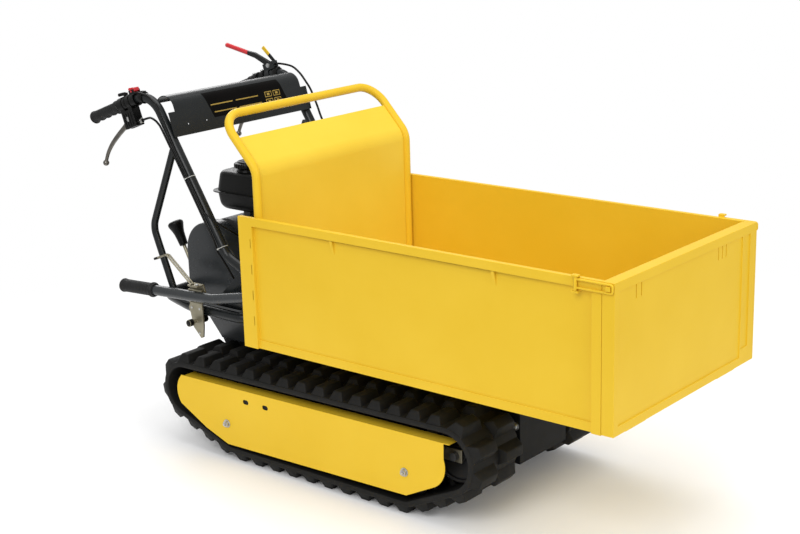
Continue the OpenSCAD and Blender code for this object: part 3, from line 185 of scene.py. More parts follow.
def rounded(points, bends, step=7):
    """Line through the points, with each inner corner rounded by its bend radius."""
    pts = [Vector(p) for p in points]
    line = [pts[0]]
    for a, b, c, r in zip(pts, pts[1:], pts[2:], bends):
        u, v = (a - b).normalized(), (c - b).normalized()
        half = u.angle(v) / 2
        centre = b + (u + v).normalized() * (r / math.sin(half))
        reach = r / math.tan(half)
        start, end = b + u * reach - centre, b + v * reach - centre
        turn = start.angle(end)
        n = max(2, math.ceil(math.degrees(turn) / step))
        axis = start.cross(end)
        line += [centre + Matrix.Rotation(turn * i / n, 3, axis) @ start for i in range(n + 1)]
    return line + [pts[-1]]


def smoothed(points, parts=6):
    """Smooth line through the points."""
    pts = [Vector(p) for p in points]
    line = []
    for i in range(len(pts) - 1):
        a, b, c, d = pts[max(i - 1, 0)], pts[i], pts[i + 1], pts[min(i + 2, len(pts) - 1)]
        square = 2 * a - 5 * b + 4 * c - d
        cube = 3 * b - a - 3 * c + d
        for k in range(parts):
            t = k / parts
            line.append(0.5 * (2 * b + (c - a) * t + square * t * t + cube * t ** 3))
    return line + [pts[-1]]


def verts_in(geom):
    return [g for g in geom if isinstance(g, bmesh.types.BMVert)]


def edges_in(geom):
    return [g for g in geom if isinstance(g, bmesh.types.BMEdge)]


def dress_up(name, data, node, finishes):
    """Makes an object of a mesh or curve, with its finishes and the motion of a CAD node's body."""
    obj = bpy.data.objects.new(name, data)
    collection.objects.link(obj)
    for f in finishes:
        data.materials.append(FINISHES[f].material)
    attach(obj, BODY_OF[node])
    return obj


def pipe(name, node, line, radius, finish, sides=24):
    """A bar, tube, wire or cable along a line."""
    curve = bpy.data.curves.new(name, "CURVE")
    curve.dimensions = "3D"
    curve.bevel_depth = radius * MM
    curve.bevel_resolution = max(1, sides // 4 - 1)
    curve.use_fill_caps = True
    spline = curve.splines.new("POLY")
    spline.points.add(len(line) - 1)
    for point, place in zip(spline.points, line):
        point.co = (*(Vector(place) * MM), 1)
    spline.use_smooth = True
    return dress_up(name, curve, node, [finish])


def piece(name, node, shapes, finishes, sharp=38):
    """Joins shapes into one finished piece."""
    whole = bmesh.new()
    for shape in shapes:
        part = bpy.data.meshes.new("part")
        shape.to_mesh(part)
        shape.free()
        whole.from_mesh(part)
        bpy.data.meshes.remove(part)
    bmesh.ops.scale(whole, vec=(MM, MM, MM), verts=whole.verts)
    bmesh.ops.recalc_face_normals(whole, faces=whole.faces)
    mesh = bpy.data.meshes.new(name)
    whole.to_mesh(mesh)
    whole.free()
    mesh.shade_smooth()
    mesh.set_sharp_from_angle(angle=math.radians(sharp))
    return dress_up(name, mesh, node, finishes)


def round_edges(bm, edges, width, parts, clamp=False):
    bmesh.ops.bevel(bm, geom=edges, offset=width, offset_type="OFFSET", segments=parts, profile=0.5,
                    affect="EDGES", clamp_overlap=clamp, material=-1)


def soften(bm, width, parts=2, angle=EDGE_ANGLE):
    """Rounds the sharp edges of a shape."""
    least = math.radians(angle)
    edges = [e for e in bm.edges if len(e.link_faces) == 2 and e.calc_face_angle() > least]
    if width > 0 and edges:
        round_edges(bm, edges, width, parts, clamp=True)
    return bm


def put(bm, place, finish=0):
    """Moves a shape by a matrix and sets which of the piece's finishes it takes."""
    bmesh.ops.transform(bm, matrix=place, verts=bm.verts)
    for f in bm.faces:
        f.material_index = finish
    return bm


def box_between(lo, hi):
    """A sharp box between two corners."""
    bm = bmesh.new()
    bmesh.ops.create_cube(bm, size=1)
    bmesh.ops.scale(bm, vec=[b - a for a, b in zip(lo, hi)], verts=bm.verts)
    bmesh.ops.translate(bm, vec=[(a + b) / 2 for a, b in zip(lo, hi)], verts=bm.verts)
    return bm


def block(lo, hi, soft=1.0, place=None, finish=0):
    return put(soften(box_between(lo, hi), soft), place or Matrix(), finish)


def slab(outline, y0, y1, soft=1.0, place=None, finish=0, parts=2):
    """A flat outline in x and z, thick from y0 to y1."""
    bm = bmesh.new()
    face = bm.faces.new([bm.verts.new((x, y0, z)) for x, z in outline])
    grown = bmesh.ops.extrude_face_region(bm, geom=[face])["geom"]
    bmesh.ops.translate(bm, vec=(0, y1 - y0, 0), verts=verts_in(grown))
    bmesh.ops.recalc_face_normals(bm, faces=bm.faces)
    soften(bm, soft, parts)
    return put(bm, place or Matrix(), finish)


def lathe(profile, place=None, finish=0, steps=48):
    """A profile of (radius, height) turned about z."""
    bm = bmesh.new()
    verts = [bm.verts.new((r, 0, h)) for r, h in profile]
    edges = [bm.edges.new(pair) for pair in zip(verts, verts[1:])]
    bmesh.ops.spin(bm, geom=verts + edges, cent=(0, 0, 0), axis=(0, 0, 1), angle=math.tau,
                   steps=steps, use_merge=True)
    bmesh.ops.remove_doubles(bm, verts=bm.verts, dist=0.001)
    bmesh.ops.recalc_face_normals(bm, faces=bm.faces)
    return put(bm, place or Matrix(), finish)


def drum(r, h0, h1, soft=1.0, place=None, finish=0, steps=40, bore=0.0):
    """A turned disc or ring with softened rims."""
    s = min(soft, (h1 - h0) / 3, r / 3)
    low_rim = [(r - s, h0), (r - 0.3 * s, h0 + 0.3 * s), (r, h0 + s)]
    high_rim = [(r, h1 - s), (r - 0.3 * s, h1 - 0.3 * s), (r - s, h1)]
    profile = [(bore, h0)] + low_rim + high_rim + [(bore, h1)]
    return lathe(profile + ([(bore, h0)] if bore else []), place, finish, steps)


def hexagon(across, h0, h1, place=None, finish=0):
    """A nut or bolt head with chamfered corners."""
    bm = bmesh.new()
    r = across / math.sqrt(3)
    bmesh.ops.create_cone(bm, cap_ends=True, segments=6, radius1=r, radius2=r, depth=h1 - h0)
    bmesh.ops.translate(bm, vec=(0, 0, (h0 + h1) / 2), verts=bm.verts)
    soften(bm, min(0.9, (h1 - h0) / 4))
    return put(bm, place or Matrix(), finish)


def ball(r, place):
    bm = bmesh.new()
    bmesh.ops.create_uvsphere(bm, u_segments=28, v_segments=16, radius=r)
    return put(bm, place)


def aim(origin, direction):
    """Place whose z axis runs along a direction."""
    turn = Vector((0, 0, 1)).rotation_difference(Vector(direction)).to_matrix().to_4x4()
    return Matrix.Translation(origin) @ turn


def side_place(s):
    """Place of a shape drawn for the left side, on the side given by s."""
    return Matrix.Diagonal((1, s, 1, 1))


def arc(centre, r, a0, a1, n):
    turns = [math.radians(a0 + (a1 - a0) * i / n) for i in range(n + 1)]
    return [(centre[0] + r * math.cos(t), centre[1] + r * math.sin(t)) for t in turns]


def in_plane(points, y):
    return [(x, y, z) for x, z in points]


def cad_copy(node):
    """A copy of a CAD node's mesh with its corners merged, in metres."""
    bm = bmesh.new()
    bm.from_mesh(frame["nodes"][node].data)
    bmesh.ops.remove_doubles(bm, verts=bm.verts, dist=MERGE)
    return bm


def cut_copy(node, point, normal, keep_outer):
    """A copy of a CAD node in millimetres, cut along a plane, and the edges of the cut."""
    bm = cad_copy(node)
    bmesh.ops.scale(bm, vec=(1 / MM, 1 / MM, 1 / MM), verts=bm.verts)
    cut = bmesh.ops.bisect_plane(bm, geom=bm.verts[:] + bm.edges[:] + bm.faces[:], dist=0.001,
                                 plane_co=point, plane_no=normal, clear_outer=not keep_outer)
    return bm, edges_in(cut["geom_cut"])


def from_cad(node, finish, soft):
    """A copy of a CAD node with its flat faces joined and its sharp edges rounded."""
    bm = cad_copy(node)
    bmesh.ops.dissolve_limit(bm, angle_limit=FLAT_ANGLE, verts=bm.verts, edges=bm.edges,
                             use_dissolve_boundaries=False)
    bmesh.ops.recalc_face_normals(bm, faces=bm.faces)
    for f in bm.faces:
        f.material_index = 0
    mesh = bpy.data.meshes.new(node + "_finished")
    bm.to_mesh(mesh)
    bm.free()
    mesh.materials.clear()
    mesh.shade_smooth()
    obj = dress_up(node + "_finished", mesh, node, [finish])
    edge = obj.modifiers.new("edge", "BEVEL")
    edge.width = soft * MM
    edge.segments = 2
    edge.limit_method = "ANGLE"
    edge.angle_limit = math.radians(EDGE_ANGLE)
    edge.use_clamp_overlap = False
    flat = obj.modifiers.new("flat_faces", "WEIGHTED_NORMAL")
    flat.keep_sharp = True
    flat.weight = FLAT_WEIGHT
    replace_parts(obj, node)


# Pieces that keep their CAD form, with rounded edges: finish and edge radius

KEPT = {
    "frame_paint": {"chassis_frame": 1.0, "track_frame_right": 1.2, "track_frame_left": 1.2},
    "tube_paint": {"clutch_bracket": 0.8},
    # Painted light: the box floor and the headboard sheet take the paler yellow, set against the light
    # bounced inside the box
    "yellow_paled_against_bounce": {"box_floor": 0.7, "headboard_sheet": 0.6},
    "yellow_paint": {
        "side_cover_right": 0.7, "side_cover_left": 0.7, "box_side_right": 0.7,
        "box_side_left": 0.7, "front_gate": 0.7},
    "black_paint": {
        "roller_right_1": 1.2, "roller_right_2": 1.2, "roller_right_3": 1.2,
        "roller_left_1": 1.2, "roller_left_2": 1.2, "roller_left_3": 1.2,
        "idler_wheel_right": 1.5, "idler_wheel_left": 1.5,
        "drive_sprocket_right": 1.5, "drive_sprocket_left": 1.5, "gearbox": 1.5},
    "black_plastic": {"recoil_starter": 1.4, "air_filter": 2.0, "lever_perches": 1.2},
    "black_rubber": {"drive_belt": 0.8},
    "cast_metal": {
        "engine_block": 0.9, "muffler": 2.0, "engine_pulley": 0.8, "gearbox_pulley": 0.8,
        "wheel_axles": 0.8},
    "zinc_plate": {
        "track_tensioners": 1.0, "tension_arm": 0.8, "tip_hinge_pin": 0.8, "tip_latch": 0.6},
}
for finish, nodes in KEPT.items():
    for node, soft in nodes.items():
        from_cad(node, finish, soft)


# Tracks: wheels as (x, z, radius), from the sprocket round by the rollers to the idler

TRACK_Y, TRACK_HALF, BELT_T, LUG_H = 202, 90, 15, 20
LINKS, STEPS_PER_LINK = 37, 6
LINK_LINE = 7
WHEELS = [(-494, 159, 62), (-324, 75, 40), (250, 75, 40), (376, 166, 70)]
LUG_LENGTH, LUG_BASE, LUG_TOP, LUG_SUNK = (48, 24), (6, 89.5), (14, 78), 6
HORN_LENGTH, HORN_BASE, HORN_TOP, HORN_SUNK = (18, 10), (10.2, 21.8), (12, 20), 3
HORN_TIP = -19.5


def leave_angle(i):
    """Angle at which the belt leaves a wheel."""
    (ax, az, ar), (bx, bz, br) = WHEELS[i], WHEELS[(i + 1) % len(WHEELS)]
    return math.atan2(bz - az, bx - ax) - math.acos((ar - br) / math.hypot(bx - ax, bz - az))


def belt_spans():
    """Arcs and straights of the belt's line, in the order of travel."""
    spans = []
    for i, (ax, az, ar) in enumerate(WHEELS):
        bx, bz, br = WHEELS[(i + 1) % len(WHEELS)]
        wrap = (leave_angle(i) - leave_angle(i - 1)) % math.tau
        spans.append(((ar + LINK_LINE) * wrap, i, True))
        spans.append((math.sqrt((bx - ax) ** 2 + (bz - az) ** 2 - (ar - br) ** 2), i, False))
    return spans


SPANS = belt_spans()
BELT_LENGTH = sum(s[0] for s in SPANS)


def belt_place(s):
    """Place on the belt's inner face at the length s: x along the belt, y across, z outwards."""
    s %= BELT_LENGTH
    for length, i, curved in SPANS:
        if s <= length:
            break
        s -= length
    ax, az, ar = WHEELS[i]
    bx, bz, br = WHEELS[(i + 1) % len(WHEELS)]
    if curved:
        t = leave_angle(i - 1) + s / (ar + LINK_LINE)
        origin = (ax + ar * math.cos(t), 0, az + ar * math.sin(t))
    else:
        t = leave_angle(i)
        f = s / length
        r = ar + (br - ar) * f
        origin = (ax + (bx - ax) * f + r * math.cos(t), 0, az + (bz - az) * f + r * math.sin(t))
    out = Vector((math.cos(t), 0, math.sin(t)))
    across = Vector((0, 1, 0))
    ahead = across.cross(out)
    return Matrix.Translation(origin) @ Matrix((ahead, across, out)).transposed().to_4x4()


def belt_band():
    """The belt itself: a flat band with rounded edges, carried once round the wheels."""
    half, t = TRACK_HALF, BELT_T
    edge = [(3, 0), (0.8, 0.8), (0, 3), (0, t - 4), (1.2, t - 1.2), (4, t)]
    ring = [(half - d, h) for d, h in edge] + [(d - half, h) for d, h in edge[::-1]]
    bm = bmesh.new()
    verts = [bm.verts.new((0, y, h)) for y, h in ring]
    first = [bm.edges.new((a, b)) for a, b in zip(verts, verts[1:] + verts[:1])]
    bmesh.ops.transform(bm, matrix=belt_place(0), verts=verts)
    stations = LINKS * STEPS_PER_LINK
    edges, before = first, belt_place(0)
    for k in range(1, stations):
        grown = bmesh.ops.extrude_edge_only(bm, edges=edges)["geom"]
        edges = edges_in(grown)
        now = belt_place(BELT_LENGTH * k / stations)
        bmesh.ops.transform(bm, matrix=now @ before.inverted(), verts=verts_in(grown))
        before = now
    bmesh.ops.bridge_loops(bm, edges=edges + first)
    return bm


def taper_block(length, y_base, y_top, h0, h1, soft):
    """A block on the belt that narrows from h0 to h1; its lengths are those at h0 and h1."""
    bm = bmesh.new()
    bmesh.ops.create_cube(bm, size=1)
    for v in bm.verts:
        low = v.co.z < 0
        x = (length[0] if low else length[1]) / 2
        y = y_base if low else y_top
        v.co = (x if v.co.x > 0 else -x, y[1] if v.co.y > 0 else y[0], h0 if low else h1)
    return soften(bm, soft)


def beside_middle(column, span):
    """A span across the belt, on the side of its middle line given by the column."""
    return sorted(column * y for y in span)


def track(side, s):
    """The belt with two staggered columns of lugs outside and two rows of horns inside."""
    link = BELT_LENGTH / LINKS
    shapes = [belt_band()]
    for k in range(LINKS):
        for column, shift in ((1, 0.0), (-1, 0.5)):
            lug = taper_block(LUG_LENGTH, beside_middle(column, LUG_BASE), beside_middle(column, LUG_TOP),
                              BELT_T - LUG_SUNK, BELT_T + LUG_H, 2.2)
            shapes.append(put(lug, belt_place((k + shift) * link)))
            horn = taper_block(HORN_LENGTH, beside_middle(column, HORN_BASE),
                               beside_middle(column, HORN_TOP), HORN_SUNK, HORN_TIP, 1.5)
            shapes.append(put(horn, belt_place(k * link)))
    whole = [put(shape, side_place(s) @ Matrix.Translation((0, TRACK_Y, 0))) for shape in shapes]
    obj = piece(f"rubber_track_{side}", f"track_belt_{side}", whole, ["black_rubber"])
    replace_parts(obj, f"track_belt_{side}")


for side, s in SIDES:
    track(side, s)


# Scraper at the rear end of each track frame, just clear of the sprocket's teeth

SCRAPER_R, SCRAPER_HALF, FRAME_END = 70, 30, -358
SCRAPER_BOLT_X, SCRAPER_BOLT_Z = -376, (154, 178)
scraper_edge = arc(WHEELS[0][:2], SCRAPER_R, 28, -16, 6)
SCRAPER = [(FRAME_END, scraper_edge[0][1])] + scraper_edge + [(FRAME_END, scraper_edge[-1][1])]
for side, s in SIDES:
    scraper = [slab(SCRAPER, TRACK_Y - SCRAPER_HALF, TRACK_Y + SCRAPER_HALF, 1.5, side_place(s))]
    for z in SCRAPER_BOLT_Z:
        seat = aim((SCRAPER_BOLT_X, TRACK_Y + SCRAPER_HALF, z), (0, 1, 0))
        scraper.append(hexagon(13, 0, 5, side_place(s) @ seat))
    piece(f"track_scraper_{side}", f"track_frame_{side}", scraper, ["frame_paint"])


# Bolts: washer, chamfered nut and the end of the thread, at (x, z) on the covers and the frame

COVER_Y, FRAME_Y = 292, 97
COVER_BOLTS, FRAME_BOLTS = ((-336, 100), (259, 112)), ((420, 222), (440, 206))
WASHER_R, WASHER_T, NUT_ACROSS, NUT_TOP = 11, 2, 15.2, 8
THREAD_R, THREAD_END, THREAD_PITCH = 4, 13, 1.4


def bolt(place, below):
    """A bolt that starts below its washer."""
    shapes = [drum(WASHER_R, 0, WASHER_T, 0.6, place), hexagon(NUT_ACROSS, WASHER_T, NUT_TOP, place)]
    shapes.append(drum(THREAD_R, NUT_TOP - 0.5, THREAD_END, 0.8, place, steps=20))
    for k in range(3):
        turn = NUT_TOP + 0.6 + THREAD_PITCH * k
        shapes.append(drum(THREAD_R + 0.25, turn, turn + 0.8, 0.3, place, steps=20))
    return shapes + [drum(THREAD_R, -below, 1, 0.3, place, steps=20)]


bolts = []
for side, s in SIDES:
    for places, y, below in ((COVER_BOLTS, COVER_Y, 18), (FRAME_BOLTS, FRAME_Y, 1)):
        for x, z in places:
            bolts += bolt(side_place(s) @ aim((x, y, z), (0, 1, 0)), below)
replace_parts(piece("nuts_and_washers", "zinc_bolts", bolts, ["bright_zinc"]), "zinc_bolts")


# Bent tubes of the frame, the handlebar and the headboard

LOOP_Z, LOOP_R = 387, 14
LOOP_SIDE = [(-255, 97), (-255, 265), (-470, 265), (-622, 215)]
LOOP_BENDS = (55, 200, 55)
loop = [(x, -y, LOOP_Z) for x, y in LOOP_SIDE] + [(x, y, LOOP_Z) for x, y in LOOP_SIDE[::-1]]
loop_line = rounded(loop, LOOP_BENDS + LOOP_BENDS[::-1])
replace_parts(pipe("rear_loop_tube", "rear_loop", loop_line, LOOP_R, "tube_paint", 32), "rear_loop")

BAR_Y, BAR_R, BRACE_R = 250, 12.5, 9.5
BAR = [(-268, 401), (-268, 505), (-342, 539.3), (-588, 939), (-817, 855.65)]
BAR_BENDS, BRACE_BEND = (50, 50, 70), 55
BRACE_UP = 310
hip, top = Vector(BAR[2]), Vector(BAR[3])
bar_line = (top - hip).normalized()
bar_front = Vector((bar_line[1], -bar_line[0]))
brace_top = hip + BRACE_UP * bar_line - (BAR_R + 0.58 * BRACE_R + 0.2) * bar_front
BRACE = [tuple(brace_top), (-617, 580), (-549, 404.3)]
FOOT_LO, FOOT_HI, FOOT_BOLTS, FOOT_BOLT_Y = (-288, 234, 401), (-248, 272, 406), (-281, -255), 267
GUSSET_HALF = 2.5
GUSSET = [(-279.5, 401.5), (-395, 401.5), (-395, 412)] + arc((-318, 473), 38.5, 58, 16, 5)
for side, s in SIDES:
    line = rounded(in_plane(BAR, s * BAR_Y), BAR_BENDS, 5)
    tube = pipe(f"handlebar_tube_{side}", f"handlebar_{side}", line, BAR_R, "tube_paint", 32)
    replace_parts(tube, f"handlebar_{side}")
    foot = [block(FOOT_LO, FOOT_HI, 1.2, side_place(s))]
    collar = side_place(s) @ Matrix.Translation((BAR[0][0], BAR_Y, 0))
    foot.append(drum(BAR_R + 2.5, FOOT_HI[2] - 2, FOOT_HI[2] + 3, 2.2, collar))
    foot.append(slab(GUSSET, BAR_Y - GUSSET_HALF, BAR_Y + GUSSET_HALF, 0.8, side_place(s)))
    for x in FOOT_BOLTS:
        seat = side_place(s) @ Matrix.Translation((x, FOOT_BOLT_Y, 0))
        foot.append(hexagon(10, FOOT_HI[2], FOOT_HI[2] + 5, seat))
    piece(f"handlebar_foot_{side}", f"handlebar_{side}", foot, ["tube_paint"])
    line = rounded(in_plane(BRACE, s * BAR_Y), [BRACE_BEND])
    brace = pipe(f"brace_tube_{side}", "handlebar_braces", line, BRACE_R, "tube_paint", 28)
    if s > 0:
        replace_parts(brace, "handlebar_braces")

HEAD_R, HEAD_BENDS = 11, (55, 60)
HEAD = [(-186, -286, 337.8), (-186, -286, 786), (-299, -286, 908)]
HEAD += [(x, -y, z) for x, y, z in HEAD[::-1]]
head_line = rounded(HEAD, HEAD_BENDS + HEAD_BENDS[::-1], 5)
head_tube = pipe("headboard_tube", "headboard_frame", head_line, HEAD_R, "yellow_paint", 36)
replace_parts(head_tube, "headboard_frame")


# Tipping handle with its grip, and the latch under it

TIP_Y, TIP_KNEE, TIP_R, TIP_BEND = -292, (-362, 432), 14, 120
TIP_SLOPE = math.radians(2.87)
TIP_REAR, TIP_FRONT = -339.4, (-239, TIP_Y, 457)
TIP_FOOT_LO, TIP_FOOT_HI, TIP_BOLT_Y, TIP_BOLT_Z = (-240, -306, 427), (-235, -274, 487), -290, (436, 478)
tip_dir = Vector((math.cos(TIP_SLOPE), 0, math.sin(TIP_SLOPE)))


def on_tip_bar(x):
    """Point on the axis of the handle's straight part, x before its bend."""
    return Vector((TIP_KNEE[0], TIP_Y, TIP_KNEE[1])) + tip_dir * x


tip_line = rounded([on_tip_bar(TIP_REAR), on_tip_bar(0), TIP_FRONT], [TIP_BEND])
tip_tube = pipe("tipping_handle_tube", "tip_handle", tip_line, TIP_R, "grey_paint", 32)
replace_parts(tip_tube, "tip_handle")
foot = [block(TIP_FOOT_LO, TIP_FOOT_HI, 1.0)]
for z in TIP_BOLT_Z:
    foot.append(hexagon(11, 0, 5, aim((TIP_FOOT_LO[0], TIP_BOLT_Y, z), (-1, 0, 0))))
piece("tipping_handle_foot", "tip_handle", foot, ["grey_paint"])

GRIP_WAVES = 3.5


def ribbed_grip(length, r, flange, bore, ribs, place, wave=0.0):
    """A rubber grip from its rear end: a round nose, ribs along its length and a flange in front.
    The wave is how far its underside swells and falls for the fingers."""
    profile = [(0, 0), (r - 3, 0), (r + 0.6, 1.2), (r + 1.4, 3.2), (r + 1.2, 6), (r - 0.6, 8)]
    step = (length - 30) / ribs
    for k in range(ribs):
        h = 10 + k * step
        profile += [(r - 0.8, h), (r, h + 0.22 * step), (r, h + 0.72 * step), (r - 0.8, h + 0.94 * step)]
    profile += [(r - 0.6, length - 16), (flange - 2, length - 13), (flange, length - 11)]
    profile += [(flange, length - 7), (flange - 1, length - 5.4), (r + 0.5, length - 4)]
    profile += [(r, length - 0.6), (bore, length)]
    bm = lathe(profile, steps=40)
    for v in bm.verts:
        under = max(0.0, v.co.x / r)
        v.co.x += wave * under * math.sin(v.co.z / (length - 24) * math.tau * GRIP_WAVES)
    return put(bm, place)


TIP_GRIP_L, TIP_GRIP_R, TIP_GRIP_NOSE = 128, 17.2, 5
tip_grip_place = aim(on_tip_bar(TIP_REAR - TIP_GRIP_NOSE), tip_dir)
tip_grip = ribbed_grip(TIP_GRIP_L, TIP_GRIP_R, 20, TIP_R + 0.2, 16, tip_grip_place)
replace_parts(piece("tipping_handle_grip", "tip_grip", [tip_grip], ["grip_rubber"]), "tip_grip")

LATCH_PIVOT, LATCH_TOP_Z = (-428, TIP_Y, 362.8), 459
LATCH_RIVETS = ((-416, 332, 3.4), (-440, 398, 3.6), (-411, 398, 3.6))
LATCH_NUTS = (-440, -419)
WIRE_END, WIRE_DIR, WIRE_APART = (-561, 511.8), (-44, 0, -17), 4
latch_pin = aim(LATCH_PIVOT, (0, 1, 0))
latch = [drum(9.3, -28.2, -14, 2.0, latch_pin, 0, 28), drum(10.3, 4, 34.2, 1.5, latch_pin, 0, 28)]
for x, z, r in LATCH_RIVETS:
    latch.append(drum(r, -3, 5, 0.6, aim((x, TIP_Y, z), (0, 1, 0)), 1, 20))
for x in LATCH_NUTS:
    latch.append(hexagon(8, 0, 3.4, Matrix.Translation((x, TIP_Y + 2, LATCH_TOP_Z)), 1))
for d in (-WIRE_APART, WIRE_APART):
    sleeve = aim((WIRE_END[0], TIP_Y + d, WIRE_END[1]), WIRE_DIR)
    latch.append(drum(3.3, -4, 9, 0.8, sleeve, 0, 20))
piece("tipping_latch_detail", "tip_latch", latch, ["black_plastic", "bright_zinc"])


# Gate latches: a wire loop on a barrel

HASP_X, HASP_Y, HASP_Z, HASP_WIRE_R = (749, 838), 315, (668, 650), 2.5
HASP_LOOP = [(HASP_X[0], HASP_Z[0]), (HASP_X[1], HASP_Z[0]), (HASP_X[1], HASP_Z[1]), (HASP_X[0], HASP_Z[1])]
for side, s in SIDES:
    wire = rounded(in_plane(HASP_LOOP, s * HASP_Y), [5, 5], 12)
    hasp = pipe(f"gate_latch_wire_{side}", f"gate_latch_{side}", wire, HASP_WIRE_R, "yellow_paint", 16)
    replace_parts(hasp, f"gate_latch_{side}")
    post = Matrix.Translation((HASP_X[0], s * HASP_Y, 0))
    barrel = [drum(4, 643.4, 673, 0.8, post, 0, 24), drum(HASP_WIRE_R, 639.2, 677, 0.6, post, 0, 20)]
    piece(f"gate_latch_barrel_{side}", f"gate_latch_{side}", barrel, ["yellow_paint"])


# Hand controls; a handle's own frame has x forward from its rear end and z square to the tube

HANDLE_SLOPE = math.radians(20)
HANDLE_END = BAR[-1]


def handle_place(s):
    turn = Matrix.Rotation(-HANDLE_SLOPE, 4, "Y")
    return side_place(s) @ Matrix.Translation((HANDLE_END[0], BAR_Y, HANDLE_END[1])) @ turn


def on_handle(s, x, z, y=0.0):
    return handle_place(s) @ Vector((x, y, z))


def along_handle(s, x, z=0.0):
    """Place on a handle whose z axis runs forward along it."""
    return handle_place(s) @ aim((x, 0, z), (1, 0, 0))


def across_handle(s, point, towards=1):
    """Place on a handle whose z axis runs across it, outwards or inwards."""
    return handle_place(s) @ aim(point, (0, towards, 0))


GRIP_L, GRIP_R, GRIP_FLANGE_R, GRIP_RIBS, GRIP_NOSE, GRIP_WAVE = 115, 15.3, 17.6, 14, 7, 1.5
grips = []
for side, s in SIDES:
    nose = along_handle(s, -GRIP_NOSE)
    grips.append(ribbed_grip(GRIP_L, GRIP_R, GRIP_FLANGE_R, BAR_R + 0.1, GRIP_RIBS, nose, GRIP_WAVE))
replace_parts(piece("handlebar_grips", "hand_grips", grips, ["grip_rubber"]), "hand_grips")

# Steering levers: a curved blade from its pivot to its ball
LEVER_PIVOT, LEVER_HALF = (140, 0, -42), 3.2
LEVER_LINE = [(140, -42), (122, -48), (102, -56), (66, -69), (32, -84), (4, -102), (-16, -122)]
LEVER_WIDTH = [20, 17, 13, 12, 11, 9.5, 8.5]
LEVER_BALL, LEVER_BALL_R = (-17, 0, -124), 8.4
NIPPLE_AT, NIPPLE_L, NIPPLE_R = (165, -57), 14, 6


def lever_outline():
    """Both edges of the curved lever, from its pivot to its ball."""
    line = smoothed(in_plane(LEVER_LINE, 0), 5)
    upper, lower = [], []
    for i, p in enumerate(line):
        ahead = (line[min(i + 1, len(line) - 1)] - line[max(i - 1, 0)]).normalized()
        k = i / (len(line) - 1) * (len(LEVER_WIDTH) - 1)
        low = min(int(k), len(LEVER_WIDTH) - 2)
        half = (LEVER_WIDTH[low] + (LEVER_WIDTH[low + 1] - LEVER_WIDTH[low]) * (k - low)) / 2
        square = Vector((-ahead.z, 0, ahead.x)) * half
        upper.append((p.x + square.x, p.z + square.z))
        lower.append((p.x - square.x, p.z - square.z))
    return upper + lower[::-1]


for side, s in SIDES:
    pivot = across_handle(s, LEVER_PIVOT)
    lever = [slab(lever_outline(), -LEVER_HALF, LEVER_HALF, 1.6, handle_place(s), 0, 3)]
    lever.append(ball(LEVER_BALL_R, handle_place(s) @ Matrix.Translation(LEVER_BALL)))
    lever.append(drum(4, -13.5, 13.5, 0.6, pivot, 0, 24))
    lever.append(drum(10, -LEVER_HALF, LEVER_HALF, 1.0, pivot, 0, 32))
    obj = piece(f"hand_lever_{side}", f"steering_lever_{side}", lever, ["polished_alloy"])
    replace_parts(obj, f"steering_lever_{side}")
    end = along_handle(s, *NIPPLE_AT)
    adjuster = [drum(NIPPLE_R, 0, NIPPLE_L, 0.8, end, 0, 24), hexagon(11, 3, 7, end)]
    for k in range(4):
        adjuster.append(drum(NIPPLE_R + 0.5, 8 + 1.5 * k, 9 + 1.5 * k, 0.3, end, 0, 24))
    piece(f"cable_adjuster_{side}", "lever_perches", adjuster, ["alloy"])

# Housing details on the perches: ribs on the cheeks, screws and the clamp's split
CHEEKS, RIB_X, RIB_STEP, RIB_WIDTH, RIB_Z = ((-15.4, -13), (13, 15.4)), 125, 9, 4.5, (-60, -26)
SCREWS_X, SCREW_Y, COLLAR_X = (125, 159), -9, 108.8
CLAMP_AT, CLAMP_LEAN = (208, 0, -3.4), math.radians(17.8)
for side, s in SIDES:
    detail = []
    for k in range(4):
        x = RIB_X + RIB_STEP * k
        for y0, y1 in CHEEKS:
            detail.append(block((x, y0, RIB_Z[0]), (x + RIB_WIDTH, y1, RIB_Z[1]), 0.8, handle_place(s)))
    for x in SCREWS_X:
        screw = handle_place(s) @ Matrix.Translation((x, SCREW_Y, 0))
        detail += [drum(4.2, 16.4, 20.4, 0.8, screw, 1, 20), hexagon(4.4, 19.6, 20.8, screw)]
    detail.append(drum(15.4, 0, 4.6, 0.8, along_handle(s, COLLAR_X), 1, 40, BAR_R + 0.1))
    clamp = handle_place(s) @ aim(CLAMP_AT, (math.cos(CLAMP_LEAN), 0, -math.sin(CLAMP_LEAN)))
    detail.append(drum(16, -8, 8, 1.6, clamp, 0, 40, BAR_R + 0.1))
    detail.append(block((-17.5, -6, -7), (-14, 6, 7), 1.2, clamp))
    detail.append(drum(6.5, 13.6, 15.4, 0.6, across_handle(s, LEVER_PIVOT), 1, 24))
    piece(f"lever_housing_detail_{side}", "lever_perches", detail, ["black_plastic", "bright_zinc"])

# Engine switch: a red rocker with ridges at its rear
SWITCH_PIN, RIDGE_X, RIDGE_STEP, RIDGE_HALF = (181, 0, 21.5), 171, 2.6, 7.4
ROCKER = [(170, 19.5), (192, 19.5), (193, 29.5), (188, 28.2), (181, 26.5), (175, 29), (169, 32.5)]
switch = [slab(ROCKER, -9, 9, 1.4, handle_place(-1), 0, 3)]
switch.append(drum(3, -12, 12, 0.4, across_handle(-1, SWITCH_PIN), 0, 20))
for k in range(3):
    x = RIDGE_X + RIDGE_STEP * k
    lo, hi = (x, -RIDGE_HALF, 30.4 - k), (x + 1.2, RIDGE_HALF, 33 - 1.2 * k)
    switch.append(block(lo, hi, 0.4, handle_place(-1)))
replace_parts(piece("engine_switch", "switch_rocker", switch, ["red_plastic"]), "switch_rocker")

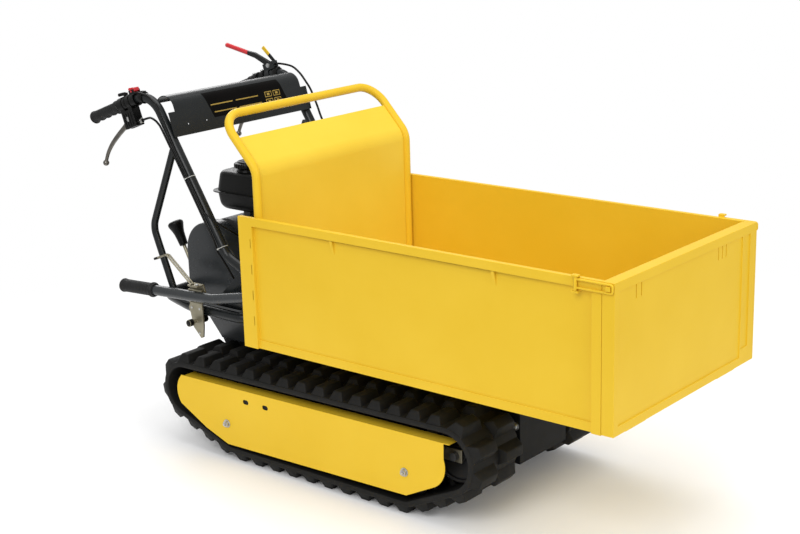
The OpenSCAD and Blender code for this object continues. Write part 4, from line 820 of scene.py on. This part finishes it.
# Throttle: a milled ring with a thumb lever
RING_X, RING_W, RING_R, RING_TEETH, THUMB_R = 138, 12, 18.5, 20, 4.5
throttle = [drum(RING_R, 0, RING_W, 1.5, along_handle(-1, RING_X), 0, 40, BAR_R + 0.06)]
throttle.append(block((RING_X + 1, -5, RING_R - 1), (RING_X + 11, 5, RING_R + 8), 1.5, handle_place(-1)))
for k in range(RING_TEETH):
    turn = handle_place(-1) @ Matrix.Rotation(math.tau * k / RING_TEETH, 4, "X")
    throttle.append(block((RING_X + 1.5, -1, RING_R - 0.5), (RING_X + 10.5, 1, RING_R + 0.3), 0.3, turn))
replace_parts(piece("throttle_ring", "throttle_lever", throttle, ["black_plastic"]), "throttle_lever")
thumb = smoothed([on_handle(-1, 144, 24.5), on_handle(-1, 134, 26, 1.8), on_handle(-1, 122, 27, 4)])
pipe("throttle_thumb_lever", "throttle_lever", thumb, THUMB_R, "black_plastic", 20)

# Drive lever on the left handle: a channel arm with a red sleeve
DRIVE_PIVOT, DRIVE_HALF = (190, 0, 24), 5
ARM = arc((190, 24), 9, -100, 50, 8) + [(146, 74), (120, 87.5), (116, 76.5), (142, 59.5)]
SLEEVE_AT, SLEEVE_DIR = (118, 0, 82), (-76, 0, 47)
SLEEVE = [(0, -2), (5.4, -2), (6.3, -1), (6.5, 2), (6.5, 80), (6.8, 84), (6.4, 87), (4.6, 88.8), (0, 89.4)]
drive = [slab(ARM, -DRIVE_HALF, DRIVE_HALF, 1.4, handle_place(1), 0, 3)]
drive.append(drum(4, -9.8, 9.8, 0.5, across_handle(1, DRIVE_PIVOT), 0, 24))
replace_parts(piece("drive_lever_arm", "clutch_lever", drive, ["black_paint"]), "clutch_lever")
sleeve = lathe(SLEEVE, handle_place(1) @ aim(SLEEVE_AT, SLEEVE_DIR), 0, 28)
piece("drive_lever_sleeve", "clutch_lever", [sleeve], ["red_plastic"])
inner_end = across_handle(1, DRIVE_PIVOT, -1)
bracket = [hexagon(11, 10, 14, inner_end), drum(6.4, 9.9, 11, 0.4, inner_end, 0, 24)]
piece("drive_lever_pivot_bolt", "clutch_bracket", bracket, ["bright_zinc"])

# Lock tab of the drive lever: a black plate with a yellow tip
TAB_TIP = on_handle(1, 188, 57)
tab_up = (handle_place(1).to_3x3() @ Vector((-0.49, 0, 0.87))).normalized()
tab, _ = cut_copy("lever_lock", TAB_TIP, tab_up, keep_outer=True)
for f in tab.faces:
    f.material_index = 1 if (f.calc_center_median() - TAB_TIP).dot(tab_up) > 0 else 0
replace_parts(piece("drive_lock_tab", "lever_lock", [tab], ["black_paint", "yellow_paint"]), "lever_lock")

# Gear lever: a rod with a tapering knob
GEAR_PIVOT, GEAR_LEAN, ROD_R, ROD_L = (-645, -62, 345), math.radians(27.5), 5, 150
KNOB = [(0, -2), (10, -2), (11.6, -0.6), (12.2, 4), (13.2, 20), (14.6, 34), (17, 44), (20, 53)]
KNOB += [(21.8, 58), (22.2, 62), (21.4, 65.4), (18.6, 68), (13, 69), (0, 69.2)]
gear_place = Matrix.Translation(GEAR_PIVOT) @ Matrix.Rotation(-GEAR_LEAN, 4, "Y")
gear_hub = gear_place @ aim((0, 0, 0), (0, 1, 0))
rod = [drum(ROD_R, 0, ROD_L, 0.5, gear_place, 0, 28), drum(12, -6.7, 7.3, 1.2, gear_hub, 0, 36)]
rod.append(drum(ROD_R, -13, 1, 0.5, gear_hub, 0, 24))
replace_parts(piece("gear_lever_rod", "gear_lever", rod, ["zinc_plate"]), "gear_lever")
knob_place = gear_place @ Matrix.Translation((0, 0, ROD_L - 2))
knobs = [lathe(KNOB, knob_place, 0, 40), drum(17.6, 67.4, 69.4, 0.6, knob_place, 1, 36, 13.8)]
piece("gear_lever_knob", "gear_lever", knobs, ["black_plastic", "white_nylon"])


# Cables down the outside of the handlebar tubes, with ties

CABLE_R, THROTTLE_CABLE_R = 3, 2.5
CABLE_BESIDE = 265.2
CABLE_AHEAD = 5.5
TIE_SHARES = (0.477, 0.052)


def down_bar(y, d, shares):
    """Points down a handlebar tube, d in front of its axis, at shares of its length."""
    points = [hip + f * (top - hip) + d * bar_front for f in shares]
    return [(p[0], y, p[1]) for p in points]


cable_exit = NIPPLE_AT[0] + NIPPLE_L
steer = [on_handle(1, cable_exit, NIPPLE_AT[1]), on_handle(1, cable_exit + 12, NIPPLE_AT[1])]
steer += [(-600, 253, 872), (-586, 258, 874), (-567, 262, 870), (-552, CABLE_BESIDE, 863)]
steer += [(-540, CABLE_BESIDE + 1, 851)]
steer += down_bar(CABLE_BESIDE, -CABLE_AHEAD, (0.654, 0.545, 0.435, 0.326, 0.217, 0.09))
steer += [(-366, 262, 552), (-353, 257, 530), (-345, 251, 511), (-332, 243, 482), (-328, 215, 440)]
steer += [(-330, 175, 410), (-330, 144, 392), (-330, 116, 374), (-330, 104, 368), (-330, 97, 368)]
steer_right = [(x, -y, z) for x, y, z in steer]

GAS_BEND_R, GAS_BEND_AT = 82, (186.7, -70)
gas = [on_handle(-1, 191.2, 14, 10.7), on_handle(-1, 200, 13, 10.7)]
for a in (68, 50, 32, 16):
    x, z = arc(GAS_BEND_AT, GAS_BEND_R, a, a, 1)[0]
    gas.append(on_handle(-1, x, z, 11 + (68 - a) / 17))
gas += down_bar(-CABLE_BESIDE, CABLE_AHEAD, (0.654, 0.545, 0.435, 0.326, 0.26))
gas += [(-388, -264, 642), (-372, -254, 626), (-358, -236, 608), (-350, -206, 586), (-352, -166, 562)]
gas += [(-364, -124, 542), (-384, -84, 528), (-404, -64, 521), (-416, -60, 520), (-429, -60, 520)]

drive_line = [on_handle(1, 210.2, 21.5), on_handle(1, 222, 19.5, 1)]
drive_line += [(-583, 253, 948), (-562, 256, 942), (-541, 259, 926), (-524, 262, 905), (-510, 265, 884)]
drive_line += [(-497, 266, 858), (-487, 267, 835), (-478, 267.5, 812), (-465, 267, 785)]
drive_line += down_bar(CABLE_BESIDE, CABLE_AHEAD, (0.435, 0.326, 0.217))
drive_line += [(-358, 268, 584), (-340, 268, 548), (-330, 268, 520), (-322, 262, 508), (-314, 236, 490)]
drive_line += [(-306, 206, 450), (-301, 170, 412), (-298, 140, 388), (-298, 116, 374), (-298, 106, 369)]
drive_line += [(-298, 97, 369)]


def cable(name, line, r):
    return pipe(name, "control_cables", smoothed(line), r, "black_plastic", 12)


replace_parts(cable("steering_cable_left", steer, CABLE_R), "control_cables")
cable("steering_cable_right", steer_right, CABLE_R)
cable("throttle_cable", gas, THROTTLE_CABLE_R)
cable("drive_cable", drive_line, CABLE_R)


def tie(name, s, share):
    """A nylon tie round a handlebar tube and the cables beside it."""
    centre = hip + share * (top - hip)
    turn = Matrix((bar_front.to_3d().xzy, (0, 1, 0), bar_line.to_3d().xzy)).transposed().to_4x4()
    place = Matrix.Translation((centre[0], s * (BAR_Y + 3), centre[1])) @ turn
    band = drum(BAR_R + 1.1, -0.9, 0.9, 0.3, bore=BAR_R + 0.4)
    bmesh.ops.scale(band, vec=(1, 1.19, 1), verts=band.verts)
    head = block((-2.6, s * 15, -1.8), (2.6, s * 18.4, 1.8), 0.7)
    piece(name, "control_cables", [put(shape, place) for shape in (band, head)], ["white_nylon"])


for side, s in SIDES:
    for k, share in enumerate(TIE_SHARES):
        tie(f"cable_tie_{side}_{k + 1}", s, share)


# Control panel: the sheet with a short lip behind its roll

PANEL_FOOT, PANEL_BEND = Vector((-501, 831)), Vector((-523, 905))
ROLL_R, LIP_ANGLE, LIP_HALF = 36, math.radians(200), math.radians(46)
panel_up = (PANEL_BEND - PANEL_FOOT).normalized()
panel_out = Vector((panel_up[1], -panel_up[0]))
panel_turn = Matrix((panel_out.to_3d().xzy, (0, 1, 0), panel_up.to_3d().xzy)).transposed().to_4x4()
panel_place = Matrix.Translation((PANEL_FOOT[0], 0, PANEL_FOOT[1])) @ panel_turn
lip_side = Vector((math.cos(LIP_ANGLE), math.sin(LIP_ANGLE)))
lip_cut = PANEL_BEND - ROLL_R * panel_out + lip_side * ROLL_R * math.cos(LIP_HALF)
panel, lip_edges = cut_copy("control_panel", lip_cut.to_3d().xzy, lip_side.to_3d().xzy, keep_outer=False)
bmesh.ops.holes_fill(panel, edges=lip_edges)
put(panel, Matrix())
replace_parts(piece("control_panel_sheet", "control_panel", [panel], ["tube_paint"], 24), "control_panel")

# Panel print: a dark field up over the roll, with plain bars and frames
PRINT_LOW, PRINT_HIGH, PRINT_EDGE, PRINT_LEAN = 30, 77.2, (-106, 176), 0.33
PRINT_ROLL = math.radians(36)
PRINT_T, BAR_TOP, FIELD_TOP, MARK_TOP = 0.3, 0.5, 0.6, 0.7
PRINT_BARS = ((-110, -30, 62), (-18, 66, 62), (-102, -22, 42), (-10, 74, 42))
FRAMES_Y, FRAMES_Z, FRAME_W, FRAME_H = (92, 124), (35, 55), 26, 15


def printed(y, z, inset_y, inset_z, t0, t1, finish):
    """A printed rectangle, inset from one of the frames on the panel."""
    lo = (t0, y + inset_y, z + inset_z)
    hi = (t1, y + FRAME_W - inset_y, z + FRAME_H - inset_z)
    return block(lo, hi, 0, panel_place, finish)


field = bmesh.new()
low_edge = field.edges.new([field.verts.new((PRINT_T, y, PRINT_LOW)) for y in PRINT_EDGE])
grown = bmesh.ops.extrude_edge_only(field, edges=[low_edge])["geom"]
bmesh.ops.translate(field, vec=(0, 0, PRINT_HIGH - PRINT_LOW), verts=verts_in(grown))
bmesh.ops.spin(field, geom=verts_in(grown) + edges_in(grown), cent=(-ROLL_R, 0, PRINT_HIGH), axis=(0, -1, 0),
               angle=PRINT_ROLL, steps=12)
bmesh.ops.remove_doubles(field, verts=field.verts, dist=0.01)
for v in field.verts:
    v.co.y -= PRINT_LEAN * (v.co.z - PRINT_LOW)
prints = [put(field, panel_place)]
for y0, y1, z in PRINT_BARS:
    prints.append(block((PRINT_T, y0, z), (BAR_TOP, y1, z + 3), 0, panel_place, 1))
for y in FRAMES_Y:
    for z in FRAMES_Z:
        prints.append(printed(y, z, 0, 0, PRINT_T, BAR_TOP, 1))
        prints.append(printed(y, z, 2, 2, PRINT_T + 0.05, FIELD_TOP, 0))
        prints.append(printed(y, z, 8, 4.5, BAR_TOP, MARK_TOP, 1))
piece("control_panel_print", "control_panel", prints, ["panel_print", "gold_print"])


# Belt guard: a pressed shell, open towards the engine

CRANK = (-521, 498)
GUARD_Y, GUARD_DEPTH, GUARD_WALL, GUARD_ROUND = -151, 54, 2, 6
GUARD = arc(CRANK, 83, 20, 180, 40) + [(-604, 410)] + arc((-584, 405), 20, 180, 217, 5)
GUARD += [(-488, 267), (-372, 267), (-352, 297), (-352, 440)]
shell = bmesh.new()
front = shell.faces.new([shell.verts.new((x, GUARD_Y, z)) for x, z in GUARD])
grown = bmesh.ops.extrude_face_region(shell, geom=[front])["geom"]
bmesh.ops.translate(shell, vec=(0, GUARD_DEPTH, 0), verts=verts_in(grown))
open_side = [f for f in grown if isinstance(f, bmesh.types.BMFace)]
bmesh.ops.delete(shell, geom=open_side, context="FACES_ONLY")
bmesh.ops.recalc_face_normals(shell, faces=shell.faces)
closed = [e for e in shell.edges if len(e.link_faces) == 2]
rim = [e for e in closed if all(abs(v.co.y - GUARD_Y) < 0.01 for v in e.verts)]
round_edges(shell, rim, GUARD_ROUND, 4)
bmesh.ops.solidify(shell, geom=shell.faces[:], thickness=GUARD_WALL)
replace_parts(piece("belt_guard", "belt_cover", [shell], ["grey_paint"]), "belt_cover")


# Fuel tank: two trays on a seam flange, with a neck, seats and a filler cap

TANK_LO, TANK_HI = (-545, -95.5), (-332, 105.5)
TANK_SEAM, TANK_TOP, TANK_FLOOR = 657, 711.5, 606
TANK_CORNER, FLANGE_OUT, FLANGE_HALF, FLANGE_CORNER = 30, 10, 1.8, 34
SEATS_X, SEAT_LO, SEAT_HI = (-502, -436), (0, -20, 594), (16, 30, 616)
NECK = [(0, 706), (30, 706), (28, 713), (25, 716), (24, 720), (0, 720)]
CAP_PLACE = Matrix.Translation((-463, -45, 0))
CAP = [(0, 720.6), (31, 720.6), (33, 722.5), (33, 731), (31.5, 733.4), (27, 734.4), (25, 736), (24, 738)]
CAP += [(20, 738.4), (19, 737.2), (0, 737.2)]
CAP_RIBS, CAP_BAR_TURN = 24, 0.6


def upright_edges(bm):
    return [e for e in bm.edges if abs(e.verts[0].co.z - e.verts[1].co.z) > 1]


def tray(z0, z1, inset, edge):
    """Half of the tank: a rounded tray that narrows away from the seam at z0."""
    bm = bmesh.new()
    bmesh.ops.create_cube(bm, size=1)
    for v in bm.verts:
        far = v.co.z > 0
        d = inset if far else 0
        x = TANK_HI[0] - d if v.co.x > 0 else TANK_LO[0] + d
        y = TANK_HI[1] - d if v.co.y > 0 else TANK_LO[1] + d
        v.co = (x, y, z1 if far else z0)
    bmesh.ops.recalc_face_normals(bm, faces=bm.faces)
    round_edges(bm, upright_edges(bm), TANK_CORNER, 7)
    ends = [e for e in bm.edges if all(abs(v.co.z - z1) < 0.1 for v in e.verts)]
    round_edges(bm, ends, edge, 5)
    return bm


def seam_flange():
    lo = [a - FLANGE_OUT for a in TANK_LO] + [TANK_SEAM - FLANGE_HALF]
    hi = [a + FLANGE_OUT for a in TANK_HI] + [TANK_SEAM + FLANGE_HALF]
    bm = box_between(lo, hi)
    round_edges(bm, upright_edges(bm), FLANGE_CORNER, 8)
    return soften(bm, 1.2, 2, 60)


tank = [tray(TANK_SEAM, TANK_TOP, 7, 13), tray(TANK_SEAM, TANK_FLOOR, 6, 22), seam_flange()]
tank.append(lathe(NECK, CAP_PLACE, 0, 40))
for x in SEATS_X:
    tank.append(block(SEAT_LO, SEAT_HI, 1.5, Matrix.Translation((x, 0, 0))))
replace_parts(piece("fuel_tank_shell", "fuel_tank", tank, ["black_plastic"]), "fuel_tank")

cap = [lathe(CAP, CAP_PLACE, 0, 72)]
for k in range(CAP_RIBS):
    turn = CAP_PLACE @ Matrix.Rotation(math.tau * k / CAP_RIBS, 4, "Z")
    cap.append(block((31.6, -2.2, 722), (34.2, 2.2, 732), 0.9, turn))
cap.append(block((-18, -4, 737), (18, 4, 738.4), 0.6, CAP_PLACE @ Matrix.Rotation(CAP_BAR_TURN, 4, "Z")))
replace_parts(piece("fuel_filler_cap", "fuel_cap", cap, ["black_plastic"]), "fuel_cap")


# Room, in metres: a pale floor that fades out, soft light, and the camera of the photograph

FLOOR_HALF, FLOOR_Z, FLOOR_FADE = 60, -0.0005, (1.0, 2.1)
AROUND_STRENGTH, BACKDROP_STRENGTH = 0.62, 1.0
LIGHTS = (
    ("key_light", (1.2, -4.2, 3.6), (0, 0, 0.4), (3.0, 2.4), 105),
    ("gate_light", (4.6, -0.6, 2.6), (0.4, 0, 0.4), (2.4, 2.0), 80),
    ("top_light", (-0.4, 0.6, 5.0), (0, 0, 0.4), (3.4, 3.4), 100),
    ("rear_light", (-4.2, 2.4, 2.8), (-0.2, 0, 0.5), (2.4, 2.0), 50),
)
CAMERA_TARGET, CAMERA_DISTANCE, CAMERA_LENS, SENSOR_WIDTH = Vector((0.0196, 0, 0.5085)), 3.842, 68.53, 36
AZIMUTH, ELEVATION, ROLL = (math.radians(a) for a in (39.89, 15.42, -1.68))

floor_bm = bmesh.new()
bmesh.ops.create_grid(floor_bm, x_segments=2, y_segments=2, size=FLOOR_HALF)
floor_mesh = bpy.data.meshes.new("floor")
floor_bm.to_mesh(floor_mesh)
floor_bm.free()
floor = bpy.data.objects.new("floor", floor_mesh)
floor.location.z = FLOOR_Z
collection.objects.link(floor)
floor_paint = Finish("studio_floor", (250, 250, 250), (252, 252, 252), (0.9, 0.95), depth=0.0)
clear = floor_paint.node("ShaderNodeBsdfTransparent")
reach = floor_paint.node("ShaderNodeVectorMath")
reach.operation = "LENGTH"
fade = floor_paint.node("ShaderNodeMapRange")
fade.inputs["From Min"].default_value = FLOOR_FADE[0]
fade.inputs["From Max"].default_value = FLOOR_FADE[1]
edge_mix = floor_paint.node("ShaderNodeMixShader")
floor_paint.link(floor_paint.place, "Object", reach, "Vector")
floor_paint.link(reach, "Value", fade, "Value")
floor_paint.link(fade, "Result", edge_mix, "Fac")
floor_paint.link(floor_paint.shader, "BSDF", edge_mix, 1)
floor_paint.link(clear, "BSDF", edge_mix, 2)
floor_paint.link(edge_mix, "Shader", floor_paint.out, "Surface")
floor_mesh.materials.append(floor_paint.material)


def soft_light(name, place, target, size, watts):
    data = bpy.data.lights.new(name, "AREA")
    data.shape = "RECTANGLE"
    data.size, data.size_y = size
    data.energy = watts
    lamp = bpy.data.objects.new(name, data)
    lamp.location = place
    lamp.rotation_euler = (Vector(target) - Vector(place)).to_track_quat("-Z", "Y").to_euler()
    collection.objects.link(lamp)


for light in LIGHTS:
    soft_light(*light)

world = bpy.data.worlds.new("studio")
bpy.context.scene.world = world
world.use_nodes = True
world_nodes, world_links = world.node_tree.nodes, world.node_tree.links
around = world_nodes["Background"]
around.inputs["Color"].default_value = (1, 1, 1, 1)
around.inputs["Strength"].default_value = AROUND_STRENGTH
backdrop = world_nodes.new("ShaderNodeBackground")
backdrop.inputs["Color"].default_value = (1, 1, 1, 1)
backdrop.inputs["Strength"].default_value = BACKDROP_STRENGTH
seen = world_nodes.new("ShaderNodeLightPath")
either = world_nodes.new("ShaderNodeMixShader")
world_links.new(seen.outputs["Is Camera Ray"], either.inputs["Fac"])
world_links.new(around.outputs["Background"], either.inputs[1])
world_links.new(backdrop.outputs["Background"], either.inputs[2])
world_links.new(either.outputs["Shader"], world_nodes["World Output"].inputs["Surface"])

camera_data = bpy.data.cameras.new("photo_camera")
camera_data.sensor_width = SENSOR_WIDTH
camera_data.lens = CAMERA_LENS
camera = bpy.data.objects.new("photo_camera", camera_data)
flat_reach = math.cos(ELEVATION)
back = Vector((math.sin(AZIMUTH) * flat_reach, -math.cos(AZIMUTH) * flat_reach, math.sin(ELEVATION)))
level = Vector((0, 0, 1)).cross(back).normalized()
upward = back.cross(level)
right_axis = level * math.cos(ROLL) + upward * math.sin(ROLL)
up_axis = upward * math.cos(ROLL) - level * math.sin(ROLL)
camera_turn = Matrix((right_axis, up_axis, back)).transposed().to_4x4()
camera.matrix_world = Matrix.Translation(CAMERA_TARGET + back * CAMERA_DISTANCE) @ camera_turn
collection.objects.link(camera)
bpy.context.scene.camera = camera
bpy.context.scene.view_settings.view_transform = "Standard"
